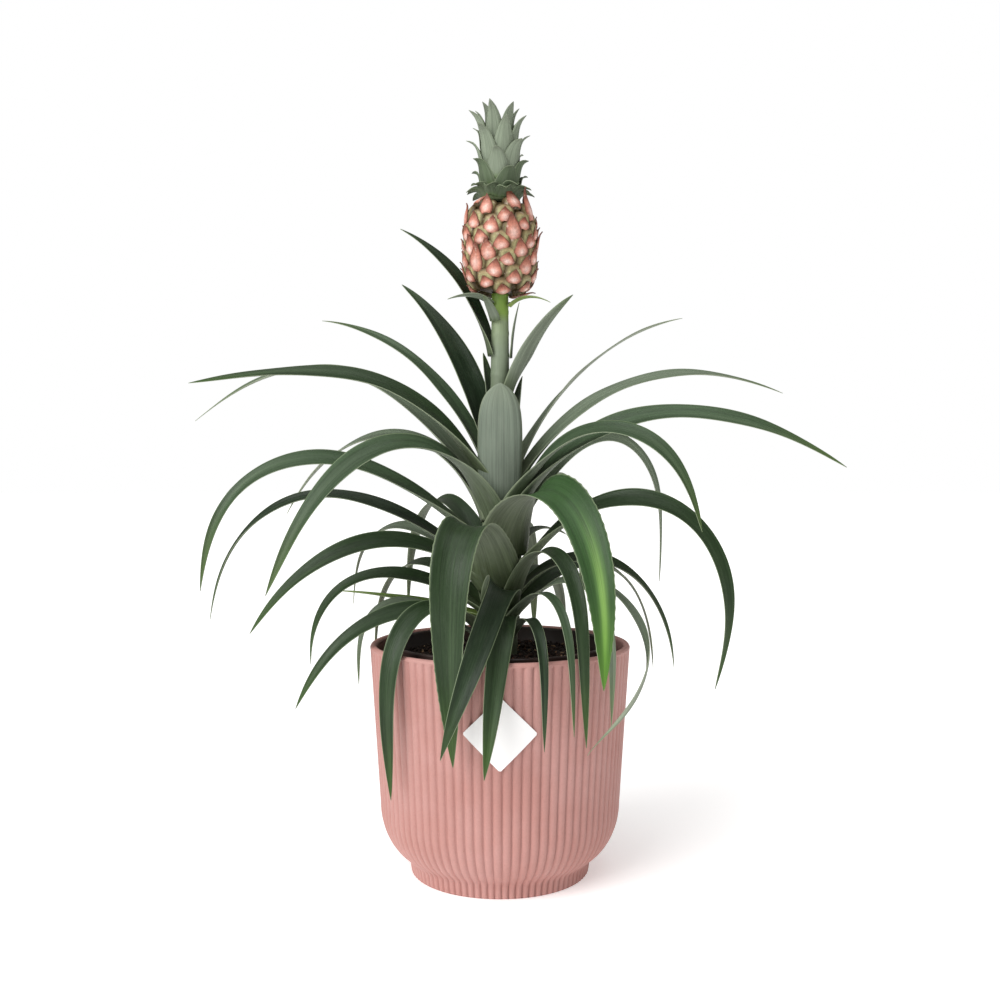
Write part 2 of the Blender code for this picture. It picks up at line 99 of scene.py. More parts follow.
class Graph:
    """A material's nodes, added and joined by short calls."""

    def __init__(self, name: str) -> None:
        """Starts a node material.

        Args:
            name: what the material is called.
        """
        self.material = bpy.data.materials.new(name)
        self.material.use_nodes = True
        self.tree = self.material.node_tree
        self.shader = self.tree.nodes["Principled BSDF"]

    def add(self, kind: str, inputs: Optional[dict] = None, **settings) -> bpy.types.Node:
        """Adds a node.

        Args:
            kind: the node's type, without the leading ShaderNode.
            inputs: a value or a socket for each input, by name or number.
            settings: the node's own properties.

        Returns:
            The new node.
        """
        node = self.tree.nodes.new("ShaderNode" + kind)
        for name, value in settings.items():
            setattr(node, name, value)
        for name, value in (inputs or {}).items():
            if isinstance(value, bpy.types.NodeSocket):
                self.tree.links.new(value, node.inputs[name])
            else:
                node.inputs[name].default_value = value
        return node

    def place(self, scale: Sequence[float] = (1, 1, 1), source: str = "Object") -> bpy.types.NodeSocket:
        """Coordinates of the piece, stretched by a scale on each axis.

        Args:
            scale: the stretch on each axis.
            source: Object, or UV where the pattern follows the surface.

        Returns:
            The stretched coordinates.
        """
        coordinates = self.add("TexCoord")
        mapping = self.add("Mapping", {"Vector": coordinates.outputs[source], "Scale": scale})
        return mapping.outputs["Vector"]

    def attribute(self, name: str, output: str = "Color") -> bpy.types.NodeSocket:
        """A value that the mesh itself carries."""
        return self.add("Attribute", attribute_name=name).outputs[output]

    def noise(self, vector: bpy.types.NodeSocket, scale: float, detail: float = 3.0,
              roughness: float = 0.55) -> bpy.types.NodeSocket:
        """Soft noise, from 0 to 1."""
        node = self.add("TexNoise", {"Vector": vector, "Scale": scale, "Detail": detail,
                                     "Roughness": roughness})
        return node.outputs["Fac"]

    def cells(self, vector: bpy.types.NodeSocket, scale: float) -> bpy.types.NodeSocket:
        """Distance to the middle of the nearest of many scattered cells."""
        return self.add("TexVoronoi", {"Vector": vector, "Scale": scale}).outputs["Distance"]

    def spread(self, value: bpy.types.NodeSocket, low: float, high: float,
               to_low: float = 0.0, to_high: float = 1.0) -> bpy.types.NodeSocket:
        """Stretches a range of values over another, held at both ends."""
        node = self.add("MapRange", {"Value": value, "From Min": low, "From Max": high,
                                     "To Min": to_low, "To Max": to_high}, clamp=True)
        return node.outputs["Result"]

    def sums(self, operation: str, first: object, second: object) -> bpy.types.NodeSocket:
        """Arithmetic on two values or sockets."""
        return self.add("Math", {0: first, 1: second}, operation=operation).outputs[0]

    def mix(self, share: object, first: object, second: object, blend: str = "MIX") -> bpy.types.NodeSocket:
        """Mixes two colours.

        Args:
            share: how much of the second there is, a number or a socket.
            first: a linear colour or a socket.
            second: a linear colour or a socket.
            blend: the node's way of mixing.

        Returns:
            The mixed colour.
        """
        node = self.add("Mix", data_type="RGBA", blend_type=blend)
        for index, value in ((0, share), (6, first), (7, second)):
            if isinstance(value, bpy.types.NodeSocket):
                self.tree.links.new(value, node.inputs[index])
            else:
                node.inputs[index].default_value = value
        return node.outputs[2]

    def ramp(self, value: bpy.types.NodeSocket,
             stops: Iterable[tuple[float, Colour]]) -> bpy.types.NodeSocket:
        """Turns a value into display colours.

        Args:
            value: the value, from 0 to 1.
            stops: a position and its colour at each stop, in order.

        Returns:
            The colour.
        """
        node = self.add("ValToRGB", {"Fac": value})
        elements = node.color_ramp.elements
        stops = list(stops)
        while len(elements) < len(stops):
            elements.new(1.0)
        for element, (position, colour) in zip(elements, stops):
            element.position = position
            element.color = linear(colour)
        return node.outputs["Color"]

    def shade(self, colour: bpy.types.NodeSocket, value: bpy.types.NodeSocket, low: float,
              high: float) -> bpy.types.NodeSocket:
        """Makes a colour darker where a value is low and lighter where it is high.

        Args:
            colour: the colour.
            value: the value, which is used from 0.25 to 0.75.
            low: what the colour is multiplied by where the value is low.
            high: what it is multiplied by where the value is high.

        Returns:
            The shaded colour.
        """
        grey = self.spread(value, 0.25, 0.75, low, high)
        tone = self.add("CombineColor", {0: grey, 1: grey, 2: grey}).outputs[0]
        return self.mix(1.0, colour, tone, "MULTIPLY")

    def bump(self, height: bpy.types.NodeSocket, strength: float, distance: float,
             normal: Optional[bpy.types.NodeSocket] = None) -> bpy.types.NodeSocket:
        """Bumps the surface.

        Args:
            height: the bumps, from 0 to 1.
            strength: how much of the effect there is.
            distance: height of a full bump, in metres.
            normal: an earlier bump, which this one is added to.

        Returns:
            The bumped normal.
        """
        inputs = {"Height": height, "Strength": strength, "Distance": distance}
        if normal is not None:
            inputs["Normal"] = normal
        return self.add("Bump", inputs).outputs["Normal"]

    def finish(self, colour: object, roughness: object, normal: Optional[object] = None,
               **plain: float) -> bpy.types.Material:
        """Joins the last sockets to the shader.

        Args:
            colour: the base colour.
            roughness: a number or a socket.
            normal: the bumped normal, if there is one.
            plain: numbers for the shader's other inputs, with _ for a space.

        Returns:
            The finished material.
        """
        for name, value in (("Base Color", colour), ("Roughness", roughness), ("Normal", normal)):
            if isinstance(value, bpy.types.NodeSocket):
                self.tree.links.new(value, self.shader.inputs[name])
            elif value is not None:
                self.shader.inputs[name].default_value = value
        for name, value in plain.items():
            self.shader.inputs[name.replace("_", " ")].default_value = value
        return self.material


@dataclass(frozen=True)
class CoverPotFinish:
    """Matt, dusty pink moulded plastic with a fine tooth and a little cloud in its colour."""

    body: Colour = (188, 141, 134)
    cloud: Colour = (181, 131, 123)
    speck: Colour = (146, 92, 82)

    def make(self) -> bpy.types.Material:
        """Builds the material.

        Returns:
            The material, to be shared by every piece with this finish.
        """
        g = Graph("dusty_pink_plastic")
        place = g.place()
        base = g.mix(g.spread(g.noise(place, 26, 4), 0.4, 0.62), linear(self.body), linear(self.cloud))
        grain = g.noise(place, 900, 3, 0.6)
        base = g.shade(base, grain, 0.95, 1.04)
        specks = g.spread(g.cells(place, 420), 0.0, 0.16, 1.0, 0.0)
        sparse = g.spread(g.noise(place, 160, 2), 0.56, 0.66)
        base = g.mix(g.sums("MULTIPLY", g.sums("MULTIPLY", specks, sparse), 0.6), base,
                     linear(self.speck))
        normal = g.bump(grain, 0.18, 0.0003)
        normal = g.bump(g.noise(place, 240, 3), 0.12, 0.0006, normal)
        rough = g.spread(g.noise(place, 60, 4), 0.3, 0.7, 0.50, 0.60)
        return g.finish(base, rough, normal, Specular_IOR_Level=0.4)


@dataclass(frozen=True)
class GrowPotFinish:
    """Thin dark brown moulded plastic, scuffed and dusted with soil."""

    plastic: Colour = (44, 30, 26)
    dust: Colour = (78, 58, 46)

    def make(self) -> bpy.types.Material:
        """Builds the material.

        Returns:
            The material, to be shared by every piece with this finish.
        """
        g = Graph("grow_pot_plastic")
        place = g.place()
        dusty = g.spread(g.noise(place, 70, 5, 0.65), 0.52, 0.72, 0.0, 0.7)
        base = g.mix(dusty, linear(self.plastic), linear(self.dust))
        normal = g.bump(g.noise(place, 500, 3), 0.2, 0.0003)
        rough = g.spread(dusty, 0.0, 0.7, 0.42, 0.8)
        return g.finish(base, rough, normal)


@dataclass(frozen=True)
class SoilFinish:
    """Moist, near black potting soil with brown fibre and a few pale grains."""

    peat: Colour = (34, 22, 17)
    fibre: Colour = (72, 47, 33)
    mineral: Colour = (150, 122, 96)

    def make(self) -> bpy.types.Material:
        """Builds the material.

        Returns:
            The material, to be shared by every piece with this finish.
        """
        g = Graph("potting_soil_grain")
        place = g.place()
        chance = g.attribute("grain", "Fac")
        coarse = g.noise(place, 420, 5, 0.7)
        base = g.ramp(coarse, ((0.30, (20, 13, 10)), (0.55, self.peat), (0.78, self.fibre)))
        base = g.mix(g.spread(chance, 0.66, 0.86), base, linear(self.fibre))
        base = g.mix(g.spread(chance, 0.91, 0.96), base, linear(self.mineral))
        normal = g.bump(coarse, 0.7, 0.0012)
        normal = g.bump(g.noise(place, 1600, 3), 0.5, 0.0004, normal)
        return g.finish(base, 0.85, normal, Specular_IOR_Level=0.3)


@dataclass(frozen=True)
class BladeFinish:
    """One face of a leaf: its colours come with the mesh, and veins run along it."""

    name: str
    tint: str
    roughness: float
    gloss: float
    vein_depth: float
    bloom: Colour
    bloom_share: float
    margin: Colour

    def make(self) -> bpy.types.Material:
        """Builds the material.

        Returns:
            The material, to be shared by every piece with this finish.
        """
        g = Graph(self.name)
        fine = g.noise(g.place((26, 2.2, 1), "UV"), 1.0, 4, 0.65)
        broad = g.noise(g.place((7, 1.2, 1), "UV"), 1.0, 3, 0.5)
        base = g.shade(g.attribute(self.tint), fine, 0.68, 1.36)
        base = g.shade(base, broad, 0.78, 1.24)
        waxy = g.noise(g.place((9, 16, 1), "UV"), 1.0, 5, 0.7)
        patch = g.spread(waxy, 0.45, 0.8, 0.0, self.bloom_share)
        base = g.mix(patch, base, linear(self.bloom))
        edge = g.spread(g.attribute("edge", "Fac"), 0.93, 0.99)
        base = g.mix(g.sums("MULTIPLY", edge, 0.6), base, linear(self.margin))
        rough = g.spread(broad, 0.3, 0.7, self.roughness - 0.05, self.roughness + 0.08)
        normal = g.bump(fine, self.vein_depth, 0.0005)
        return g.finish(base, rough, normal, Specular_IOR_Level=self.gloss)


@dataclass(frozen=True)
class StalkFinish:
    """Fleshy pale flower stalk, bright green close under the fruit."""

    low: float = 200 * MM
    high: float = 309 * MM

    def make(self) -> bpy.types.Material:
        """Builds the material.

        Returns:
            The material, to be shared by every piece with this finish.
        """
        g = Graph("stalk_skin")
        coordinates = g.add("TexCoord")
        split = g.add("SeparateXYZ", {0: coordinates.outputs["Object"]})
        along = g.spread(split.outputs["Z"], self.low, self.high)
        base = g.ramp(along, ((0.0, (86, 97, 72)), (0.45, (104, 116, 92)), (0.72, (124, 137, 114)),
                              (0.86, (136, 152, 116)), (0.90, (128, 158, 70)), (1.0, (116, 150, 58))))
        streaks = g.noise(g.place((1800, 1800, 60)), 1.0, 4, 0.6)
        base = g.shade(base, streaks, 0.86, 1.1)
        normal = g.bump(streaks, 0.3, 0.0004)
        return g.finish(base, 0.5, normal)


@dataclass(frozen=True)
class FruitletFinish:
    """Skin of a fruitlet or its bract, tinted by the mesh, with a fine dry texture."""

    name: str
    roughness: float

    def make(self) -> bpy.types.Material:
        """Builds the material.

        Returns:
            The material, to be shared by every piece with this finish.
        """
        g = Graph(self.name)
        place = g.place()
        base = g.shade(g.attribute("skin_tint"), g.noise(place, 620, 5, 0.7), 0.62, 1.36)
        base = g.shade(base, g.noise(place, 150, 2), 0.84, 1.14)
        base = g.mix(g.spread(g.noise(place, 380, 3), 0.60, 0.74, 0.0, 0.5), base, linear((236, 214, 196)))
        normal = g.bump(g.noise(place, 1100, 3), 0.5, 0.0005)
        return g.finish(base, self.roughness, normal)


@dataclass(frozen=True)
class CardFinish:
    """Smooth white uncoated card, left blank."""

    face: Colour = (254, 254, 254)

    def make(self) -> bpy.types.Material:
        """Builds the material.

        Returns:
            The material, to be shared by every piece with this finish.
        """
        g = Graph("blank_card")
        place = g.place()
        fibre = g.noise(place, 1400, 4, 0.7)
        base = g.shade(g.mix(fibre, linear(self.face), linear((250, 250, 249))), fibre, 0.98, 1.0)
        return g.finish(base, 0.6, g.bump(fibre, 0.08, 0.0002))


# ---------------------------------------------------------------------------- pieces


def keep_piece(shape: bmesh.types.BMesh, name: str, nodes: Sequence[str],
               materials: Sequence[bpy.types.Material]) -> bpy.types.Object:
    """Makes a finished piece of a bmesh, and ties it to the frame.

    Args:
        shape: the piece's mesh, which is freed.
        name: what the piece is called.
        nodes: the frame's nodes that it stands for.
        materials: its finishes, in the order of its faces' numbers.

    Returns:
        The new object.
    """
    mesh = bpy.data.meshes.new(name)
    shape.to_mesh(mesh)
    shape.free()
    mesh.shade_smooth()
    for material in materials:
        mesh.materials.append(material)
    item = bpy.data.objects.new(name, mesh)
    bpy.context.scene.collection.objects.link(item)
    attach(item, BODY)
    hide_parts(*nodes)
    LOG.info("%s stands for %s", name, ", ".join(nodes))
    return item


def turned(profile: Sequence[Point], steps: int, repeats: int = 1,
           carve: Optional[Callable[[Vector], Vector]] = None) -> bmesh.types.BMesh:
    """A closed solid of revolution, or of equal carved sectors.

    Args:
        profile: (radius, height) points from the axis to the axis.
        steps: divisions round the axis, or across each sector.
        repeats: how many sectors there are.
        carve: moves a point of the first sector, before it is repeated.

    Returns:
        The solid, with its faces outward.
    """
    shape = bmesh.new()
    corners = [shape.verts.new((radius, 0.0, height)) for radius, height in profile]
    edges = [shape.edges.new(pair) for pair in zip(corners, corners[1:])]
    turn = {"axis": (0, 0, 1), "cent": (0, 0, 0)}
    bmesh.ops.spin(shape, geom=corners + edges, angle=math.tau / repeats, steps=steps,
                   use_merge=repeats == 1, **turn)
    if carve:
        for corner in shape.verts:
            corner.co = carve(corner.co)
    if repeats > 1:
        bmesh.ops.spin(shape, geom=shape.verts[:] + shape.edges[:] + shape.faces[:],
                       angle=math.tau * (repeats - 1) / repeats, steps=repeats - 1,
                       use_duplicate=True, **turn)
    bmesh.ops.remove_doubles(shape, verts=shape.verts[:], dist=0.000005)
    bmesh.ops.recalc_face_normals(shape, faces=shape.faces[:])
    return shape


def pour(source: bmesh.types.BMesh, target: bmesh.types.BMesh) -> None:
    """Adds one bmesh's faces, with their layers, to another.

    Args:
        source: the bmesh that is added, and stays as it is.
        target: the bmesh that it joins.
    """
    mesh = bpy.data.meshes.new("poured")
    source.to_mesh(mesh)
    target.from_mesh(mesh)
    bpy.data.meshes.remove(mesh)


def arc(centre: Point, reach: Point, start: float, end: float, count: int) -> list[Point]:
    """Points of an elliptic arc in a profile, angles counted from outward to up."""
    angles = [math.radians(start + (end - start) * step / count) for step in range(count + 1)]
    return [(centre[0] + reach[0] * math.cos(a), centre[1] + reach[1] * math.sin(a)) for a in angles]


def straight(start: Point, end: Point, count: int) -> list[Point]:
    """Points between two points of a profile, without the first and the last."""
    return [(start[0] + (end[0] - start[0]) * step / count, start[1] + (end[1] - start[1]) * step / count)
            for step in range(1, count)]


@dataclass
class CoverPot:
    """Fluted plastic pot with a plain rounded lip, a waist and a low foot."""

    height: float
    rim_radius: float
    wall: float = 3.5 * MM
    shoulder_radius: float = 64.2 * MM
    shoulder_height: float = 38.0 * MM
    shoulder_centre: float = 40.0 * MM
    shoulder_drop: float = 31.7 * MM
    waist_height: float = 8.5 * MM
    foot_radius: float = 47.8 * MM
    floor: float = 4.0 * MM
    flutes: int = 85
    flute_steps: int = 10
    groove: float = 1.45 * MM
    inner_groove: float = 0.35 * MM
    inner_start: float = 40.0 * MM
    inner_full: float = 60.0 * MM
    plain_lip: float = 1.6 * MM
    lip_fade: float = 1.2 * MM
    outer_blend: float = 4.0 * MM
    inner_blend: float = 1.5 * MM
    base_flat: float = 0.05 * MM
    # steps in millimetres, out from the foot's radius and up from the waist
    waist_fillet: tuple[Point, ...] = ((3.1, 1.1), (2.1, 0.1), (1.35, -0.9), (0.85, -2.0), (0.6, -3.4))
    # steps in millimetres, out from the foot's radius and up from the base
    foot_edge: tuple[Point, ...] = ((0.3, 3.0), (0.0, 0.9), (-0.25, 0.3), (-0.8, 0.0))

    def wall_radius_at(self, height: float) -> float:
        """Outer radius of the straight wall at a height."""
        share = (height - self.shoulder_height) / (self.height - self.wall / 2 - self.shoulder_height)
        return self.shoulder_radius + (self.rim_radius - self.shoulder_radius) * share

    def inside(self) -> list[Point]:
        """Draws the inner face.

        Returns:
            Its profile, from the floor's middle up to the lip.
        """
        reach = (self.shoulder_radius - self.shoulder_centre - self.wall, self.shoulder_drop - self.wall)
        curve = arc((self.shoulder_centre, self.shoulder_height), reach, -75, 0, 8)
        lip_foot = (self.rim_radius - self.wall, self.height - self.wall / 2)
        floor_edge = (self.foot_radius - self.wall + 0.5 * MM, self.floor)
        return ([(0.0, self.floor), floor_edge] + curve
                + straight(curve[-1], (lip_foot[0], lip_foot[1] - self.plain_lip), 6)
                + straight((lip_foot[0], lip_foot[1] - self.plain_lip - self.inner_blend), lip_foot, 4))

    def outside(self) -> list[Point]:
        """Draws the outer face.

        Returns:
            Its profile, from under the lip down to the base's middle.
        """
        reach = (self.shoulder_radius - self.shoulder_centre, self.shoulder_drop)
        curve_end = self.waist_height + 2.2 * MM
        drop = math.degrees(math.asin((self.shoulder_height - curve_end) / self.shoulder_drop))
        curve = arc((self.shoulder_centre, self.shoulder_height), reach, 0, -drop, 16)
        lip_foot = (self.rim_radius, self.height - self.wall / 2)
        below = self.height - self.plain_lip - self.outer_blend
        start = (self.wall_radius_at(below), below)
        waist = [(self.foot_radius + out * MM, self.waist_height + up * MM)
                 for out, up in self.waist_fillet]
        foot = [(self.foot_radius + out * MM, up * MM) for out, up in self.foot_edge]
        wall = straight(lip_foot, start, 6) + [start] + straight(start, curve[0], 6)
        return wall + curve + waist + foot + [(0.0, 0.0)]

    def groove_at(self, place: Vector, flat: float) -> float:
        """Depth that the flutes are cut to, which fades out at the plain lip.

        Args:
            place: a point of the plain pot.
            flat: its distance from the axis.

        Returns:
            The depth, in metres.
        """
        if place.z < self.base_flat or flat < 0.8 * self.foot_radius:
            return 0.0
        below_lip = self.height - self.plain_lip - place.z
        fade = smooth(-0.2 * MM, self.lip_fade, below_lip)
        if flat > self.wall_radius_at(max(place.z, self.shoulder_height)) - 0.6 * self.wall:
            return self.groove * fade
        if place.z < self.shoulder_height and self.is_outer(place.z, flat):
            return self.groove * fade
        return self.inner_groove * fade * smooth(self.inner_start, self.inner_full, place.z)

    def is_outer(self, height: float, flat: float) -> bool:
        """Tells the two faces of the shoulder, waist and foot apart.

        Args:
            height: a point's height.
            flat: its distance from the axis.

        Returns:
            Whether it lies on the outer face.
        """
        if height <= self.waist_height:
            return True
        share = min(1.0, (self.shoulder_height - height) / self.shoulder_drop)
        reach = self.shoulder_radius - self.shoulder_centre
        outer = self.shoulder_centre + reach * math.sqrt(1 - share ** 2)
        return flat > outer - 0.5 * self.wall

    def carved(self, place: Vector) -> Vector:
        """Cuts the flutes, which are rounded ribs with narrow grooves between them.

        Args:
            place: a point of the plain pot.

        Returns:
            Where it goes.
        """
        flat = math.hypot(place.x, place.y)
        if flat < 1 * MM:
            return place.copy()
        turn = math.atan2(place.y, place.x) / math.tau * self.flutes
        across = abs(2 * turn - 1)
        depth = self.groove_at(place, flat)
        inward = 1.0 if depth > self.inner_groove else -1.0
        cut = (0.75 * across ** 2.2 + 0.25 * across ** 8) * depth
        scale = (flat - inward * cut) / flat
        return Vector((place.x * scale, place.y * scale, place.z))

    def build(self) -> bpy.types.Object:
        """Turns the pot and cuts its flutes.

        Returns:
            The finished pot.
        """
        lip = self.wall / 2
        over_lip = arc((self.rim_radius - lip, self.height - lip), (lip, lip), 180, 0, 12)
        shape = turned(self.inside() + over_lip + self.outside(), self.flute_steps, self.flutes,
                       self.carved)
        return keep_piece(shape, "fluted_cover_pot", ["cover_pot"],
                          [CoverPotFinish().make()])


@dataclass
class GrowPot:
    """Thin moulded pot that the plant grows in, with a rolled rim and drain holes."""

    rim_height: float
    rim_radius: float
    foot_height: float
    band: float = 9.0 * MM
    band_thickness: float = 2.0 * MM
    wall: float = 1.2 * MM
    neck_radius: float = 57.2 * MM
    foot_radius: float = 41.0 * MM
    floor: float = 1.6 * MM
    ridge_heights: tuple[float, ...] = (6.0 * MM, 3.2 * MM)
    ridge_half: float = 0.6 * MM
    ridge_depth: float = 0.25 * MM
    holes: int = 6
    hole_radius: float = 4.5 * MM
    hole_circle: float = 26.0 * MM
    steps: int = 96

    def wall_radius(self, height: float) -> float:
        """Measures the tapering wall.

        Args:
            height: a height, in metres.

        Returns:
            The wall's outer radius there.
        """
        neck_height = self.rim_height - self.band
        share = (height - self.foot_height) / (neck_height - self.foot_height)
        return self.foot_radius + (self.neck_radius - self.foot_radius) * share

    def profile(self) -> list[Point]:
        """Draws the pot.

        Returns:
            Its outline, from the inside floor over the rim to the underside.
        """
        neck = self.rim_height - self.band
        floor_top = self.foot_height + self.floor
        inner = self.rim_radius - self.band_thickness
        rolled = arc((inner + 1.0 * MM, self.rim_height - 1.0 * MM), (1.0 * MM, 1.0 * MM), 180, 0, 8)
        ridges = []
        valley = self.rim_radius - self.ridge_depth
        for above_neck in self.ridge_heights:
            height = neck + above_neck
            ridges += [(valley, height + self.ridge_half), (self.rim_radius, height),
                       (valley, height - self.ridge_half)]
        return [
            (0.0, floor_top),
            (self.wall_radius(floor_top) - self.wall - 1.0 * MM, floor_top),
            (self.wall_radius(floor_top) - self.wall, floor_top + 1.0 * MM),
            (self.neck_radius - self.wall, neck),
            (inner, neck + 1.0 * MM),
            *rolled,
            *ridges,
            (self.rim_radius, neck + 0.3 * MM),
            (self.rim_radius - 0.3 * MM, neck),
            (self.neck_radius, neck),
            (self.foot_radius, self.foot_height + 0.8 * MM),
            (self.foot_radius - 0.8 * MM, self.foot_height),
            (0.0, self.foot_height),
        ]

    def drill(self, item: bpy.types.Object) -> None:
        """Cuts the drain holes through the floor for good.

        Args:
            item: the pot, which keeps its name and materials.
        """
        cutter_shape = bmesh.new()
        for hole in range(self.holes):
            angle = math.tau * hole / self.holes
            middle = Matrix.Translation((self.hole_circle * math.cos(angle),
                                         self.hole_circle * math.sin(angle), self.foot_height))
            bmesh.ops.create_cone(cutter_shape, cap_ends=True, segments=24, radius1=self.hole_radius,
                                  radius2=self.hole_radius, depth=6 * MM, matrix=middle)
        mesh = bpy.data.meshes.new("drain_holes")
        cutter_shape.to_mesh(mesh)
        cutter_shape.free()
        cutter = bpy.data.objects.new("drain_holes", mesh)
        bpy.context.scene.collection.objects.link(cutter)
        cut = item.modifiers.new("drain_holes", "BOOLEAN")
        cut.operation = "DIFFERENCE"
        cut.solver = "EXACT"
        cut.object = cutter
        done = bpy.data.meshes.new_from_object(item.evaluated_get(bpy.context.evaluated_depsgraph_get()))
        item.modifiers.clear()
        item.data = done
        bpy.data.objects.remove(cutter)

    def build(self) -> bpy.types.Object:
        """Turns the pot and drills it.

        Returns:
            The finished pot.
        """
        shape = turned(self.profile(), self.steps)
        item = keep_piece(shape, "grow_pot_shell", ["nursery_pot"], [GrowPotFinish().make()])
        self.drill(item)
        return item


@dataclass
class Soil:
    """Loose potting soil, banked up round the stem, with single grains on top."""

    crown_height: float
    bottom: float
    edge_height: float = 115.0 * MM
    socket_radius: float = 9.6 * MM
    socket_floor: float = 94.7 * MM
    edge_radius: float = 54.7 * MM
    clearance: float = 0.6 * MM
    # the lumps' scale and their height in millimetres
    lumps: tuple[tuple[float, float], ...] = ((90.0, 1.6), (330.0, 1.1))
    grains: int = 1500
    batch: int = 50
    steps: int = 150

    def build(self, grow_pot: GrowPot) -> bpy.types.Object:
        """Heaps the soil in its pot.

        Args:
            grow_pot: the pot that it fills.

        Returns:
            The finished soil.
        """
        gap = grow_pot.wall + self.clearance
        wall_top = self.edge_height - 5 * MM
        top_start = (self.socket_radius, self.crown_height)
        top_end = (self.edge_radius, self.edge_height)
        socket = [(0.0, self.socket_floor), (self.socket_radius - 0.3 * MM, self.socket_floor)]
        wall = [(grow_pot.wall_radius(height) - gap, height) for height in (wall_top, self.bottom)]
        top = [top_start] + straight(top_start, top_end, 38) + [top_end]
        shape = turned(socket + top + wall + [(0.0, self.bottom)], self.steps)
        grain = shape.verts.layers.float.new("grain")
        for corner in shape.verts:
            flat = math.hypot(corner.co.x, corner.co.y)
            if corner.co.z > self.edge_height - 1 * MM and flat > self.socket_radius + 1 * MM:
                edge_fade = smooth(0.0, 4 * MM, self.edge_radius - flat)
                lift = sum(noise.noise(corner.co * scale) * height for scale, height in self.lumps)
                corner.co.z += lift * MM * edge_fade
            corner[grain] = 0.3 + 0.25 * noise.noise(corner.co * 700)
        self.scatter(shape)
        return keep_piece(shape, "potting_soil_heap", ["potting_soil"], [SoilFinish().make()])

    def scatter(self, shape: bmesh.types.BMesh) -> None:
        """Strews single grains over the soil's top.

        Args:
            shape: the soil's mesh, which the grains join.
        """
        draw = random.Random(11)
        for _ in range(self.grains // self.batch):
            heap = bmesh.new()
            kinds = heap.verts.layers.float.new("grain")
            for _ in range(self.batch):
                self.add_grain(heap, kinds, draw)
            pour(heap, shape)
            heap.free()

    def add_grain(self, heap: bmesh.types.BMesh, kinds: bmesh.types.BMLayerItem,
                  draw: random.Random) -> None:
        """Adds one grain, of a size, turn and kind drawn at random.

        Args:
            heap: the grains so far.
            kinds: the layer that says how dark each grain is.
            draw: the source of the random numbers.
        """
        low, high = self.socket_radius + 2 * MM, self.edge_radius - 1.5 * MM
        flat = math.sqrt(draw.uniform(low ** 2, high ** 2))
        turn = draw.uniform(0, math.tau)
        level = self.crown_height + (self.edge_height - self.crown_height) * flat / self.edge_radius
        size = draw.uniform(0.35, 1.1) * MM
        flatness = draw.uniform(0.5, 1.0)
        tumble = Matrix.Rotation(draw.uniform(0, math.tau), 4, Vector((draw.random(), draw.random(), 1.0)))
        place = (Matrix.Translation((flat * math.cos(turn), flat * math.sin(turn), level + 0.5 * MM))
                 @ tumble @ Matrix.Diagonal((draw.uniform(1.0, 1.9), 1.0, flatness, 1.0)))
        made = bmesh.ops.create_icosphere(heap, subdivisions=1, radius=size, matrix=place)
        kind = draw.random()
        for corner in made["verts"]:
            corner[kinds] = kind


@dataclass
class Stem:
    """Stem and flower stalk, ringed where its leaves and bracts stood."""

    profile: tuple[Point, ...] = (
        (95.0 * MM, 9.0 * MM),
        (150.0 * MM, 10.0 * MM),
        (200.0 * MM, 8.0 * MM),
        (230.0 * MM, 5.6 * MM),
        (300.0 * MM, 4.6 * MM),
        (309.0 * MM, 4.6 * MM),
    )
    ring_pitch: float = 11.0 * MM
    ring_height: float = 0.22 * MM
    ring_width: float = 0.9 * MM
    ring_tilt: float = 0.7 * MM
    skin: float = 0.1 * MM
    rows: int = 214
    columns: int = 48

    def radius_at(self, height: float) -> float:
        """Measures the stem, which is straight between its profile's points.

        Args:
            height: a height, in metres.

        Returns:
            The stem's radius there.
        """
        if height <= self.profile[0][0]:
            return self.profile[0][1]
        for (low, low_radius), (high, high_radius) in zip(self.profile, self.profile[1:]):
            if height <= high:
                return low_radius + (high_radius - low_radius) * (height - low) / (high - low)
        return self.profile[-1][1]

    def build(self) -> bpy.types.Object:
        """Turns the stem with its rings, each a little tilted.

        Returns:
            The finished stem.
        """
        low, high = self.profile[0][0], self.profile[-1][0]
        points = [(0.0, high)]
        for row in range(self.rows + 1):
            height = high - (high - low) * row / self.rows
            phase = (height - low) % self.ring_pitch
            ring = math.exp(-((phase - self.ring_pitch / 2) / self.ring_width) ** 2)
            points.append((self.radius_at(height) - self.skin + self.ring_height * ring, height))
        points.append((0.0, low))
        shape = turned(points, self.columns)
        for corner in shape.verts:
            height = corner.co.z
            tilt = self.ring_tilt * math.sin(math.atan2(corner.co.y, corner.co.x) + height * 90)
            corner.co.z += tilt * smooth(low, low + 10 * MM, height) * smooth(high, high - 8 * MM, height)
        return keep_piece(shape, "stem_and_stalk", ["stem"], [StalkFinish().make()])


@dataclass(frozen=True)
class LeafTint:
    """Display colours of a leaf.

    Attributes:
        upper: its upper face.
        under: its lower face.
        foot: both faces at the foot.
        tip: both faces at the tip.
        glow: a stripe along the outer half, where light comes through.
        glow_share: how strong that stripe is.
    """

    upper: Colour
    under: Colour
    foot: Colour
    tip: Colour
    glow: Colour
    glow_share: float = 0.0


